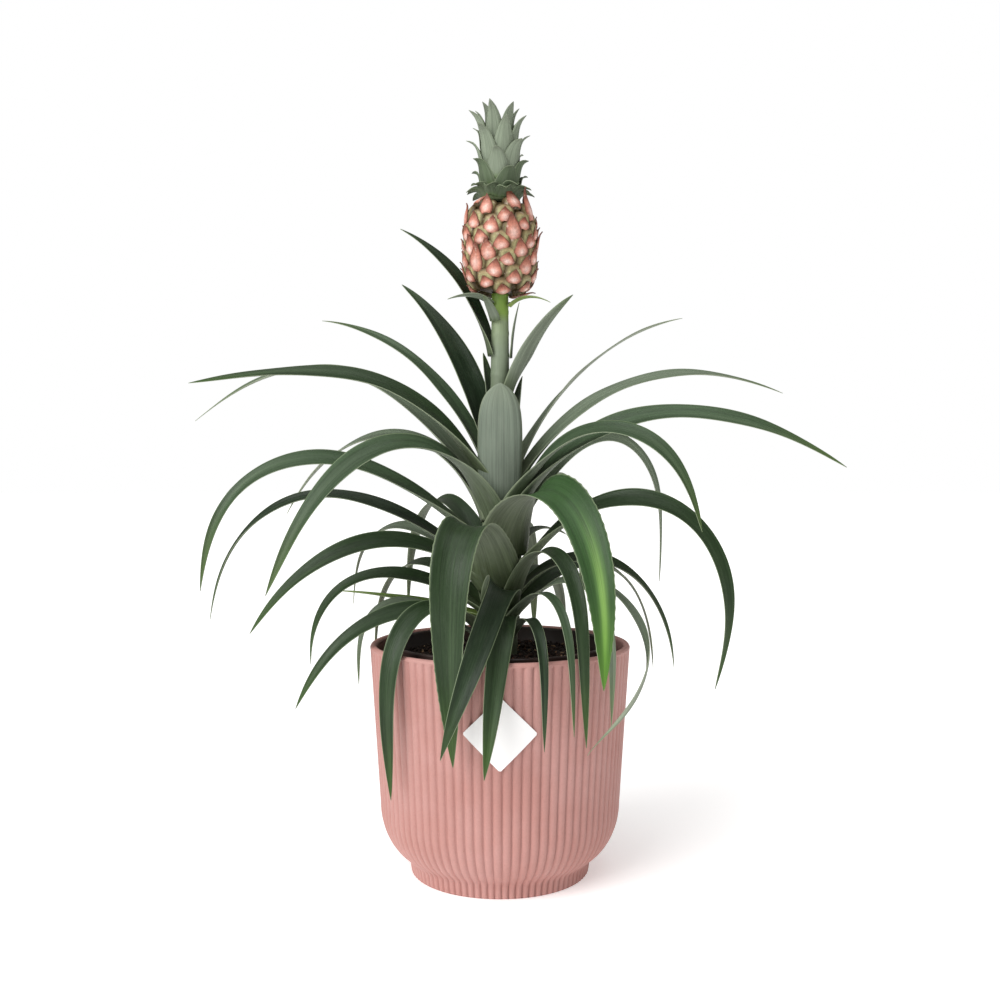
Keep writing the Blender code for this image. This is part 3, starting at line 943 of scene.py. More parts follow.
class Tone(Enum):
    """The leaf colours that the plant shows."""

    DARK = LeafTint((30, 44, 28), (94, 104, 87), (72, 86, 56), (52, 74, 38), (78, 96, 72), 0.3)
    DEEP = LeafTint((40, 57, 34), (108, 117, 98), (82, 96, 64), (62, 90, 38), (84, 102, 74), 0.4)
    FRESH = LeafTint((50, 78, 42), (120, 128, 110), (94, 106, 76), (84, 128, 38), (138, 176, 92), 0.85)
    GREY = LeafTint((58, 76, 53), (118, 128, 111), (84, 97, 70), (78, 98, 52), (108, 124, 98), 0.35)
    PALE = LeafTint((100, 113, 94), (148, 156, 140), (110, 122, 94), (100, 118, 78), (156, 166, 148), 0.3)
    BOAT = LeafTint((104, 117, 98), (120, 131, 117), (80, 93, 72), (134, 144, 124), (136, 146, 130), 0.2)
    YELLOW = LeafTint((100, 128, 54), (118, 138, 74), (132, 154, 74), (112, 134, 60), (150, 176, 90), 0.3)
    TUFT = LeafTint((92, 106, 76), (128, 139, 120), (110, 132, 88), (108, 112, 98), (120, 138, 102), 0.3)
    COLLAR = LeafTint((66, 84, 54), (88, 102, 78), (92, 112, 70), (86, 92, 74), (90, 108, 76), 0.3)


@dataclass(frozen=True)
class Leaf:
    """One leaf: where it stands on the stem, how it arches, and how it looks.

    Attributes:
        name: the frame's node that it stands for.
        turn: the side of the stem that it stands on.
        foot: height of its foot, in millimetres.
        length: length along its midrib, in millimetres.
        width: full width of its blade, in millimetres.
        launch: rise of the midrib at the foot.
        tip: rise of the midrib at the tip.
        crest: share of the length at which the midrib is level.
        fold: how suddenly the midrib bends there.
        sway: how far the midrib turns sideways on its way.
        roll: tilt of the blade about its midrib.
        twist: more tilt, which grows towards the tip.
        tone: its colours.
        sheath: width of the clasping foot, as a multiple of the blade's.
        teeth: height of the teeth along its margins, in millimetres.
        point: how late the blade narrows to its point.
    """

    name: str
    turn: float
    foot: float
    length: float
    width: float
    launch: float
    tip: float
    crest: float
    fold: float
    sway: float = 0.0
    roll: float = 0.0
    twist: float = 0.0
    tone: Tone = Tone.DEEP
    sheath: float = 1.4
    teeth: float = 0.0
    point: float = 2.2

    def rise_at(self, share: float) -> float:
        """Bends the midrib as a leaf sinks under its own weight.

        Args:
            share: 0 to 1 along the midrib.

        Returns:
            The midrib's rise there, in degrees.
        """
        level = self.launch / (self.launch - self.tip) if self.tip < 0 else 0.5
        stiffness = (self.crest / (1 - self.crest)) ** self.fold * (1 - level) / level
        bent = share ** self.fold
        held = stiffness * (1 - share) ** self.fold
        return self.launch + (self.tip - self.launch) * bent / (bent + held)

    def seed(self) -> float:
        """A number of the leaf's own, for its small irregularities."""
        return self.turn * 0.37 + self.foot * 0.11 + self.length * 0.05


LEAVES = (
    # short leaves on the flower stalk
    Leaf("stalk_leaf_left", 170, 276, 88, 11, 82, 28, 0.50, 1.0, 0, -35, tone=Tone.DARK),
    Leaf("stalk_leaf_right", 345, 256, 62, 12, 74, 40, 0.50, 1.0, 0, -35, tone=Tone.GREY),
    Leaf("stalk_bract_left", 140, 245, 34, 10, 86, 76, 0.50, 1.0, tone=Tone.GREY),
    Leaf("stalk_bract_right", 0, 275, 30, 5, 88, 76, 0.50, 1.0, tone=Tone.GREY),
    # upright leaves at the heart of the plant
    Leaf("heart_leaf_front", 270, 194, 67, 25, 88, 82, 0.50, 1.0, tone=Tone.BOAT, sheath=0.85, point=9.0),
    Leaf("heart_leaf_right", 20, 222, 44, 16, 86, 80, 0.50, 1.0, tone=Tone.GREY),
    Leaf("heart_leaf_left", 147, 222, 117, 17, 80, 38, 0.50, 1.2, 0, -30, tone=Tone.DARK),
    # upper arching leaves
    Leaf("upper_leaf_1", 150, 214, 150, 10, 70, 8, 0.48, 1.0, 0, -25, tone=Tone.GREY),
    Leaf("upper_leaf_2", 183, 208, 180, 16, 58, -8, 0.66, 1.8, 0, -35, tone=Tone.DEEP),
    Leaf("upper_leaf_3", 162, 199, 214, 13, 56, -34, 0.62, 1.5, 0, -25, tone=Tone.PALE),
    Leaf("upper_leaf_4", 160, 187, 174, 12, 72, -47, 0.46, 1.4, -26, -25, tone=Tone.PALE, sheath=1.8),
    Leaf("upper_leaf_5", 38, 210, 170, 8, 64, 12, 0.45, 1.0, 0, -25, tone=Tone.PALE),
    Leaf("upper_leaf_6", 18, 204, 190, 11, 60, -18, 0.70, 1.2, 0, 30, tone=Tone.PALE),
    # middle leaves, the longest of the plant
    Leaf("middle_leaf_1", 190, 174, 202, 14, 42, -84, 0.50, 1.6, 0, -35, -25, tone=Tone.GREY),
    Leaf("middle_leaf_2", 208, 188, 177, 17, 74, -66, 0.37, 1.5, 0, -35, tone=Tone.GREY, sheath=1.9),
    Leaf("middle_leaf_3", 338, 192, 150, 15, 66, -76, 0.48, 1.5, 0, 35, tone=Tone.GREY, sheath=1.9),
    Leaf("middle_leaf_4", 355, 188, 202, 15, 66, -32, 0.55, 1.2, 0, 45, tone=Tone.GREY, sheath=1.8),
    Leaf("middle_leaf_5", 26, 181, 183, 12, 60, -92, 0.44, 2.2, 0, 50, tone=Tone.PALE),
    Leaf("middle_leaf_6", 301, 169, 173, 25, 82, -92, 0.32, 1.4, -2, 30, tone=Tone.FRESH,
         sheath=1.5, teeth=0.28),
    Leaf("middle_leaf_7", 254, 152, 185, 25, 52, -94, 0.31, 3.0, -18, -12, tone=Tone.DEEP,
         sheath=1.4, teeth=0.2),
    Leaf("middle_leaf_8", 172, 160, 204, 12, 40, -80, 0.47, 1.5, 0, -30, tone=Tone.DARK),
    Leaf("middle_leaf_9", 152, 158, 122, 11, 36, -84, 0.48, 2.0, 0, -25, tone=Tone.PALE),
    Leaf("middle_leaf_10", 346, 158, 202, 15, 54, -104, 0.38, 1.6, 0, 40, tone=Tone.DEEP),
    Leaf("middle_leaf_11", 50, 166, 56, 10, 66, -20, 0.60, 1.2, tone=Tone.GREY),
    Leaf("middle_leaf_12", 62, 172, 165, 13, 58, -86, 0.42, 1.8, 0, 15, tone=Tone.GREY),
    Leaf("middle_leaf_13", 95, 168, 160, 14, 56, -84, 0.40, 1.8, tone=Tone.DEEP),
    Leaf("middle_leaf_14", 120, 160, 165, 13, 50, -84, 0.42, 1.8, 0, -20, tone=Tone.DEEP),
    # skirt of lower leaves that hangs over the rim
    Leaf("skirt_leaf_1", 193, 150, 148, 14, 56, -56, 0.40, 1.2, 0, -45, tone=Tone.DEEP),
    Leaf("skirt_leaf_2", 178, 139, 128, 11, 36, -90, 0.42, 1.4, 0, -40, tone=Tone.DEEP),
    Leaf("skirt_leaf_3", 166, 136, 84, 9, 14, 2, 0.50, 1.0, 0, -10, tone=Tone.YELLOW),
    Leaf("skirt_leaf_4", 195, 130, 122, 12, 34, -64, 0.30, 1.2, 0, -45, tone=Tone.DEEP),
    Leaf("skirt_leaf_5", 222, 126, 150, 13, 40, -95, 0.27, 2.2, 20, -25, tone=Tone.DEEP),
    Leaf("skirt_leaf_6", 180, 124, 104, 7, 34, -90, 0.46, 2.4, 36, -30, tone=Tone.PALE),
    Leaf("skirt_leaf_7", 271, 141, 136, 17.5, 44, -72, 0.25, 1.6, -96, -50, tone=Tone.DARK),
    Leaf("skirt_leaf_8", 272, 129, 127, 16, 32, -78, 0.28, 2.0, -40, -30, tone=Tone.DEEP),
    Leaf("skirt_leaf_9", 288, 125, 116, 7, 30, -92, 0.36, 2.4, -14, tone=Tone.DARK),
    Leaf("skirt_leaf_10", 10, 148, 130, 10, 54, -84, 0.32, 1.2, 0, 35, tone=Tone.DEEP),
    Leaf("skirt_leaf_11", 307, 147, 150, 10, 60, -86, 0.28, 2.4, -24, 20, tone=Tone.DEEP),
    Leaf("skirt_leaf_12", 298, 135, 122, 6, 36, -86, 0.34, 2.4, -8, 10, tone=Tone.GREY),
    Leaf("skirt_leaf_13", 320, 138, 128, 7, 40, -92, 0.34, 2.4, -20, 35, tone=Tone.PALE),
    Leaf("skirt_leaf_14", 350, 142, 166, 5, 38, -48, 0.22, 2.4, -230, 0, 160, tone=Tone.PALE),
    Leaf("skirt_leaf_15", 78, 150, 150, 13, 50, -86, 0.40, 1.8, tone=Tone.DEEP),
    Leaf("skirt_leaf_16", 108, 140, 140, 12, 44, -88, 0.40, 1.8, tone=Tone.DEEP),
    Leaf("skirt_leaf_17", 65, 134, 128, 11, 40, -88, 0.40, 1.8, 0, 15, tone=Tone.GREY),
    Leaf("skirt_leaf_18", 138, 136, 140, 11, 42, -86, 0.40, 1.8, 0, -20, tone=Tone.DEEP),
    Leaf("skirt_leaf_19", 30, 138, 140, 11, 44, -84, 0.38, 1.6, 0, 25, tone=Tone.GREY),
    # bracts under the fruit
    Leaf("fruit_bract_left", 207, 303, 26, 8, 40, -20, 0.50, 1.0, tone=Tone.GREY, sheath=1.0),
    Leaf("fruit_bract_right", 335, 302, 25, 5, 44, -30, 0.50, 1.0, tone=Tone.YELLOW, sheath=1.0),
    Leaf("fruit_bract_front", 240, 294, 17, 7, 62, 30, 0.50, 1.0, tone=Tone.GREY, sheath=1.0),
    Leaf("fruit_bract_back", 80, 300, 22, 7, 40, 0, 0.50, 1.0, tone=Tone.GREY, sheath=1.0),
)


@dataclass
class Foliage:
    """All the leaves: thin channelled blades with clasping feet and pointed tips."""

    thickness: float = 0.9 * MM
    thin_share: float = 0.3
    offset: float = 1.2 * MM
    foot_spread: float = 0.32
    channel: float = 0.55
    clasp_power: int = 5
    roll_share: float = 0.4
    walk_steps: int = 96
    columns: int = 12
    row_pitch: float = 1.6 * MM
    tooth_rows: int = 3
    wave: float = 0.5 * MM
    wave_pitch: float = 0.09
    least_half_width: float = 0.12 * MM
    vein_width: float = 16.0
    vein_length: float = 160.0

    def walk(self, leaf: Leaf, start_radius: float) -> list[tuple[Vector, float, float]]:
        """Follows the midrib from its foot.

        Args:
            leaf: the leaf.
            start_radius: distance of its foot from the plant's axis.

        Returns:
            The place, rise and heading at each step.
        """
        turn = math.radians(leaf.turn)
        place = Vector((start_radius * math.cos(turn), start_radius * math.sin(turn), leaf.foot * MM))
        stations = [(place.copy(), float(leaf.launch), float(leaf.turn))]
        step = leaf.length * MM / self.walk_steps
        for index in range(self.walk_steps):
            middle = (index + 0.5) / self.walk_steps
            along, _, _ = self.directions(leaf.rise_at(middle), leaf.turn + leaf.sway * middle ** 2)
            place = place + along * step
            share = (index + 1) / self.walk_steps
            stations.append((place.copy(), leaf.rise_at(share), leaf.turn + leaf.sway * share ** 2))
        return stations

    @staticmethod
    def directions(rise: float, heading: float) -> tuple[Vector, Vector, Vector]:
        """Sets up the blade's own axes.

        Args:
            rise: the midrib's rise.
            heading: the side that it points to.

        Returns:
            Unit vectors along the midrib, across the blade and out of its upper face.
        """
        rise, heading = math.radians(rise), math.radians(heading)
        flat = math.cos(rise)
        along = Vector((flat * math.cos(heading), flat * math.sin(heading), math.sin(rise)))
        across = Vector((-math.sin(heading), math.cos(heading), 0.0))
        return along, across, along.cross(across)

    def station_at(self, stations: Sequence[tuple[Vector, float, float]],
                   share: float) -> tuple[Vector, float, float]:
        """Reads the midrib between two of its steps.

        Args:
            stations: the midrib, step by step.
            share: 0 to 1 along it.

        Returns:
            The place, rise and heading there.
        """
        position = share * self.walk_steps
        index = min(int(position), self.walk_steps - 1)
        part = position - index
        near, far = stations[index], stations[index + 1]
        return (near[0].lerp(far[0], part), near[1] + (far[1] - near[1]) * part,
                near[2] + (far[2] - near[2]) * part)

    def half_width(self, leaf: Leaf, share: float) -> float:
        """Measures the blade, with its broad foot and pointed tip.

        Args:
            leaf: the leaf.
            share: 0 to 1 along it.

        Returns:
            Half its width there, in metres.
        """
        foot = 1 - smooth(0.0, self.foot_spread, share)
        spread = 1 + (leaf.sheath - 1) * foot
        taper = (1 - min(share, 0.9999) ** leaf.point) ** 0.8
        return max(self.least_half_width, 0.5 * leaf.width * MM * spread * taper)

    def point_at(self, leaf: Leaf, stations: Sequence, start_radius: float, side: float,
                 share: float, tooth: float = 0.0) -> Vector:
        """A point of the blade's middle surface.

        Args:
            leaf: the leaf.
            stations: its midrib.
            start_radius: distance of its foot from the axis.
            side: -1 to 1 across the blade.
            share: 0 to 1 along it.
            tooth: how far a tooth stands out of the margin here.

        Returns:
            The point, in metres.
        """
        place, rise, heading = self.station_at(stations, share)
        _, across, upward = self.directions(rise, heading)
        turn = math.radians(leaf.roll * smooth(0.0, self.roll_share, share) + leaf.twist * share ** 2)
        across, upward = (across * math.cos(turn) + upward * math.sin(turn),
                          upward * math.cos(turn) - across * math.sin(turn))
        reach = self.half_width(leaf, share)
        free_radius = reach / (self.channel + (1.0 - self.channel) * (1 - share) ** self.clasp_power)
        clasp = (max(free_radius, start_radius) - free_radius) * (1 - share) ** self.clasp_power
        radius = free_radius + clasp
        angle = (reach + tooth) / radius * side
        margin = side * side * smooth(0.15, 0.4, share) * min(1.0, reach / (4 * MM))
        phase = leaf.seed() + (2.1 if side > 0 else 0.0)
        ripple = math.sin(share * leaf.length * self.wave_pitch + phase)
        lift = radius * (1 - math.cos(angle)) + self.wave * margin * ripple
        return place + across * (radius * math.sin(angle)) + upward * lift

    def tints(self, leaf: Leaf, side: float, share: float) -> tuple[Colour, Colour]:
        """Mixes the leaf's colours at a point of the blade.

        Args:
            leaf: the leaf.
            side: -1 to 1 across it.
            share: 0 to 1 along it.

        Returns:
            Display colours of the upper and the lower face.
        """
        tint = leaf.tone.value
        seed = leaf.seed()
        foot = (1 - smooth(0.02, 0.22, share)) * 0.8
        tip = smooth(0.72, 1.0, share) * 0.8
        spot = Vector((side * 0.8 + seed, share * leaf.length * 0.02, seed * 1.7))
        cloud = 1 + 0.10 * noise.noise(spot) + 0.05 * noise.noise(spot * 3.1)
        stripe = math.exp(-((side - 0.35 * math.sin(seed)) / 0.3) ** 2)
        glow = tint.glow_share * stripe * smooth(0.42, 0.75, share) * (1 - smooth(0.85, 1.0, share))
        upper = blend_colours(blend_colours(tint.upper, tint.glow, glow), tint.tip, tip)
        under = blend_colours(blend_colours(tint.under, tint.foot, foot), tint.tip, tip * 0.6)
        upper = blend_colours(upper, tint.foot, foot)
        return (tuple(channel * cloud for channel in upper), tuple(channel * cloud for channel in under))

    def blade(self, leaf: Leaf, start_radius: float, rows: int) -> bmesh.types.BMesh:
        """Bends a flat grid into the leaf's blade.

        Args:
            leaf: the leaf.
            start_radius: distance of its foot from the axis.
            rows: divisions along it.

        Returns:
            The blade as an open sheet that carries its tints.
        """
        stations = self.walk(leaf, start_radius)
        shape = bmesh.new()
        shape.loops.layers.uv.new("blade")
        edge = shape.verts.layers.float.new("edge")
        upper_tint = shape.verts.layers.float_color.new("upper_tint")
        under_tint = shape.verts.layers.float_color.new("under_tint")
        body = shape.verts.layers.deform.verify()
        bmesh.ops.create_grid(shape, x_segments=self.columns, y_segments=rows, size=1.0, calc_uvs=True)
        for corner in shape.verts:
            side, share = corner.co.x, (corner.co.y + 1) / 2
            row = round(share * rows)
            toothed = leaf.teeth and abs(side) > 0.99 and row % self.tooth_rows == 0
            tooth = leaf.teeth * MM if toothed and 0.12 < share < 0.9 else 0.0
            corner.co = self.point_at(leaf, stations, start_radius, side, share, tooth)
            corner[edge] = abs(side)
            upper, under = self.tints(leaf, side, share)
            corner[upper_tint] = linear(upper)
            corner[under_tint] = linear(under)
            corner[body][0] = (1 - side ** 2) ** 0.5 * (1 - share ** 3)
        self.scale_uvs(shape, leaf)
        shape.normal_update()
        return shape

    def scale_uvs(self, shape: bmesh.types.BMesh, leaf: Leaf) -> None:
        """Gives the veins the same scale on every leaf, and a start of their own.

        Args:
            shape: the blade's mesh.
            leaf: the leaf.
        """
        layer = shape.loops.layers.uv["blade"]
        for face in shape.faces:
            for loop in face.loops:
                u, v = loop[layer].uv
                loop[layer].uv = (u * leaf.width / self.vein_width + leaf.seed(),
                                  v * leaf.length / self.vein_length)

    def thicken(self, item: bpy.types.Object, thickness: float) -> None:
        """Gives a blade its thickness, thinner towards the margins and the tip.

        Args:
            item: the blade, as an open sheet.
            thickness: its thickness along the midrib.
        """
        item.vertex_groups.new(name="body")
        solid = item.modifiers.new("thickness", "SOLIDIFY")
        solid.thickness = thickness
        solid.offset = 0.0
        solid.use_rim = True
        solid.vertex_group = "body"
        solid.thickness_vertex_group = self.thin_share
        solid.material_offset = 1
        solid.material_offset_rim = 0

    def finishes(self) -> list[bpy.types.Material]:
        """Makes the two faces' finishes.

        Returns:
            The lower face's finish, then the upper one's.
        """
        upper = BladeFinish("leaf_upper_face", "upper_tint", 0.34, 0.22, 0.4, (112, 128, 104), 0.10,
                            (142, 160, 122))
        under = BladeFinish("leaf_lower_face", "under_tint", 0.55, 0.15, 0.5, (150, 156, 142), 0.25,
                            (150, 162, 132))
        return [under.make(), upper.make()]

    def build(self, stem: Stem) -> None:
        """Builds every leaf on the stem.

        Args:
            stem: the stem, which gives the radius that the feet clasp.
        """
        finishes = self.finishes()
        for leaf in LEAVES:
            start_radius = stem.radius_at(leaf.foot * MM) + self.offset
            rows = 3 * max(12, round(leaf.length * MM / self.row_pitch / 3))
            shape = self.blade(leaf, start_radius, rows)
            item = keep_piece(shape, leaf.name + "_blade",
                              [leaf.name], finishes)
            self.thicken(item, self.thickness)


@dataclass
class Crown:
    """Tuft on the fruit: short broad leaves round a tapering core."""

    foliage: Foliage
    base: float
    core_height: float = 36.0 * MM
    core_radius: float = 10.0 * MM
    collar: int = 13
    leaves: int = 28
    golden_angle: float = 137.5
    thickness: float = 0.8 * MM
    rows: int = 12
    core_colour: Colour = (104, 118, 84)

    def collar_leaf(self, index: int) -> Leaf:
        """One of the short leaves that bend down over the fruit's shoulder."""
        return Leaf(f"collar_{index}", turn=self.golden_angle * index % 360 + 5,
                    foot=self.base / MM + 0.4 + 0.25 * index, length=11.5, width=11.5, launch=66,
                    tip=-26, crest=0.6, fold=2.0, tone=Tone.COLLAR, sheath=1.1, point=1.5)

    def leaf(self, index: int) -> Leaf:
        """One leaf of the tuft: low ones short and spreading, high ones long and upright.

        Args:
            index: its number, from the lowest one up.

        Returns:
            The leaf.
        """
        share = index / (self.leaves - 1)
        foot = self.base / MM + 3.0 + 28.5 * share
        length = 15 + 11 * smooth(0.0, 0.6, share) - 6 * smooth(0.7, 1.0, share)
        length *= 1 + 0.12 * math.sin(index * 2.3)
        return Leaf(f"tuft_{index}", turn=self.golden_angle * index % 360 + 20, foot=foot,
                    length=length, width=17.0 - 4.0 * share, launch=79 + 3 * share,
                    tip=2 + 56 * share, crest=0.78, fold=2.6,
                    tone=Tone.TUFT if share > 0.25 else Tone.COLLAR, sheath=1.0, point=1.5)

    def core(self) -> bmesh.types.BMesh:
        """Turns the core, which carries the same layers as the blades.

        Returns:
            The core's mesh.
        """
        dome = arc((0.0, self.base), (self.core_radius, self.core_height), 90, 0, 14)
        shape = turned([(0.0, self.base + self.core_height)] + dome[1:] + [(0.0, self.base)], 24)
        edge = shape.verts.layers.float.new("edge")
        upper_tint = shape.verts.layers.float_color.new("upper_tint")
        under_tint = shape.verts.layers.float_color.new("under_tint")
        shape.loops.layers.uv.new("blade")
        shape.verts.layers.deform.verify()
        for corner in shape.verts:
            corner[edge] = 0.0
            corner[upper_tint] = linear(self.core_colour)
            corner[under_tint] = linear(self.core_colour)
        return shape

    def build(self) -> None:
        """Builds the core and the leaves round it."""
        finishes = self.foliage.finishes()
        keep_piece(self.core(), "crown_core", ["crown"], finishes)
        blades = ([self.collar_leaf(index) for index in range(self.collar)]
                  + [self.leaf(index) for index in range(self.leaves)])
        for index, leaf in enumerate(blades):
            share = (leaf.foot * MM - self.base) / self.core_height
            start_radius = self.core_radius * math.sqrt(max(0.0, 1 - share ** 2)) * 0.9 + 0.6 * MM
            blade = self.foliage.blade(leaf, start_radius, self.rows)
            piece = keep_piece(blade, f"crown_leaf_{index + 1}", ["crown"], finishes)
            self.foliage.thicken(piece, self.thickness)


@dataclass
class Fruit:
    """Barrel of fruitlets in spirals, each with a pointed bract over its lower half."""

    base: float
    height: float
    radius: float = 17.2 * MM
    squareness: float = 3.6
    fruitlets: int = 68
    golden_angle: float = 137.508
    pad_width: float = 5.9 * MM
    pad_height: float = 5.9 * MM
    pad_depth: float = 2.8 * MM
    bract_width: float = 5.1 * MM
    bract_length: float = 7.9 * MM
    bract_thickness: float = 0.5 * MM
    bract_belly: float = 1.1 * MM
    bract_lean: float = 2.1 * MM
    bract_wrap: float = 1.2 * MM
    least_half_width: float = 0.12 * MM
    long_bract: float = 1.6
    core_inset: float = 0.4 * MM
    core_rows: int = 24
    core_columns: int = 48
    pad_rim: Colour = (78, 62, 32)
    pad_face: Colour = (168, 162, 116)
    flesh: Colour = (194, 122, 102)
    # painted highlight: the whitish pink that stands in for light shining off the belly of each bract
    painted_highlight: Colour = (250, 220, 210)
    burnt: Colour = (116, 62, 44)

    def radius_at(self, level: float) -> float:
        """Barrel's radius at a level, -1 at its foot to 1 at its top."""
        level = min(0.999, abs(level))
        return self.radius * (1 - level ** self.squareness) ** (1 / self.squareness)

    def height_at(self, level: float) -> float:
        """Height of a level of the barrel."""
        return self.base + self.height / 2 * (1 + level)

    def frame_at(self, level: float, turn: float) -> Matrix:
        """Sets up a fruitlet's own axes.

        Args:
            level: its level on the barrel.
            turn: its side of the barrel, in radians.

        Returns:
            A frame with X across, Y up the surface and Z outward.
        """
        place, above = (Vector((self.radius_at(at) * math.cos(turn), self.radius_at(at) * math.sin(turn),
                                self.height_at(at))) for at in (level, level + 0.02))
        up = (above - place).normalized()
        across = Vector((-math.sin(turn), math.cos(turn), 0.0))
        outward = across.cross(up)
        columns = Matrix((across, up, outward)).transposed().to_4x4()
        return Matrix.Translation(place) @ columns

    def levels(self) -> list[float]:
        """Spreads the fruitlets so that each has the same room on the barrel.

        Returns:
            Their levels, from the lowest one up.
        """
        samples = [-0.97 + 1.94 * step / 400 for step in range(401)]
        areas, total = [], 0.0
        for level in samples:
            total += self.radius_at(level) + 2.5 * MM
            areas.append(total)
        found = []
        for index in range(self.fruitlets):
            wanted = total * (index + 0.5) / self.fruitlets
            found.append(next(level for level, area in zip(samples, areas) if area >= wanted))
        return found

    def add_pad(self, shape: bmesh.types.BMesh, frame: Matrix, size: float) -> None:
        """Adds a fruitlet's rounded shield, sunk in its middle.

        Args:
            shape: the fruit so far.
            frame: the fruitlet's own axes.
            size: its size, as a share of the largest.
        """
        layer = shape.verts.layers.float_color["skin_tint"]
        made = bmesh.ops.create_uvsphere(shape, u_segments=16, v_segments=10, radius=1.0)
        for corner in made["verts"]:
            x, y, z = corner.co
            flat = math.hypot(x, y)
            dried = 0.45 * smooth(0.1, 0.9, y) * smooth(0.2, 0.6, flat)
            face = blend_colours(self.pad_face, self.burnt, dried)
            corner[layer] = linear(blend_colours(face, self.pad_rim, smooth(0.66, 0.92, flat)))
            squared = 1 + 0.05 * math.cos(4 * math.atan2(y, x) + math.pi)
            dip = 0.35 * math.exp(-(flat / 0.35) ** 2) if z > 0 else 0.0
            corner.co = frame @ Vector((x * self.pad_width * size * squared,
                                        y * self.pad_height * size * squared,
                                        (z - dip) * self.pad_depth))

    def bract_point(self, side: float, share: float, size: float, length: float) -> Vector:
        """Shapes a bract: hollow, bellied low down and leaning out at its point.

        Args:
            side: -1 to 1 across it.
            share: 0 to 1 along it.
            size: its fruitlet's size.
            length: its length, in metres.

        Returns:
            A point of it, in its fruitlet's frame.
        """
        width = self.bract_width * size * (0.6 + 0.4 * min(1.0, share / 0.3)) * (1 - share ** 1.6) ** 0.85
        width = max(width, self.least_half_width)
        belly = math.sin(math.pi * min(1.0, share * 1.15)) * self.bract_belly
        lean = self.bract_lean * share ** 3 * length / self.bract_length
        outward = self.pad_depth * 0.72 + belly + lean - self.bract_wrap * side ** 2 * (1 - share)
        up = -self.pad_height * size * 0.92 + length * share
        return Vector((width * side, up, outward))

    def add_bract(self, shape: bmesh.types.BMesh, frame: Matrix, size: float,
                  length: float) -> None:
        """Adds the pointed bract that covers a fruitlet's lower half.

        Args:
            shape: the fruit so far.
            frame: the bract's own axes.
            size: its fruitlet's size.
            length: its length, in metres.
        """
        sheet = bmesh.new()
        tint = sheet.verts.layers.float_color.new("skin_tint")
        bmesh.ops.create_grid(sheet, x_segments=6, y_segments=9, size=1.0)
        for corner in sheet.verts:
            side, share = corner.co.x, (corner.co.y + 1) / 2
            # painted highlight: low on each bract's belly the flesh is paled towards a whitish pink, ragged
            # by noise, where light shines off it
            patch = noise.noise(frame.translation * 900 + Vector((side * 0.7, share * 2.0, 0.0)))
            belly = math.exp(-((share - 0.26) / 0.2) ** 2 - (side / 0.5) ** 2) * (1 + 0.5 * patch)
            belly = min(1.0, max(0.0, belly))
            colour = blend_colours(self.flesh, self.painted_highlight, belly)
            dark = max(smooth(0.5, 0.95, share), 0.9 * smooth(0.6, 1.0, abs(side)))
            corner[tint] = linear(blend_colours(colour, self.burnt, dark))
            corner.co = frame @ self.bract_point(side, share, size, length)
        sheet.normal_update()
        bmesh.ops.solidify(sheet, geom=sheet.faces[:], thickness=self.bract_thickness)
        pour(sheet, shape)
        sheet.free()

    def core(self) -> bmesh.types.BMesh:
        """Turns the barrel that the fruitlets sit on.

        Returns:
            The barrel's mesh.
        """
        levels = [1 - 2 * row / self.core_rows for row in range(self.core_rows + 1)]
        side = [(self.radius_at(level) - self.core_inset, self.height_at(level)) for level in levels]
        shape = turned([(0.0, side[0][1])] + side + [(0.0, side[-1][1])], self.core_columns)
        layer = shape.verts.layers.float_color.new("skin_tint")
        for corner in shape.verts:
            corner[layer] = linear(self.pad_rim)
        return shape

    def build(self) -> bpy.types.Object:
        """Builds the core, the fruitlets and their bracts.

        Returns:
            The finished fruit.
        """
        shape = self.core()
        draw = random.Random(5)
        for index, level in enumerate(self.levels()):
            turn = math.radians(self.golden_angle * index)
            size = (0.55 + 0.45 * (self.radius_at(level) / self.radius)) * draw.uniform(0.94, 1.05)
            frame = self.frame_at(level, turn)
            self.add_pad(shape, frame, size)
            length = self.bract_length * size * draw.uniform(0.8, 1.2) * (1 + 0.6 * smooth(0.5, 0.9, level))
            frame = frame @ Matrix.Rotation(draw.uniform(-0.25, 0.25), 4, "Z")
            on_the_right = math.cos(turn) > 0.94 and 0.0 < level < 0.3
            length *= self.long_bract if on_the_right or draw.random() > 0.94 else 1.0
            self.add_bract(shape, frame, size, length)
        return keep_piece(shape, "fruit_with_fruitlets", ["fruit"],
                          [FruitletFinish("fruitlet_skin", 0.55).make()])


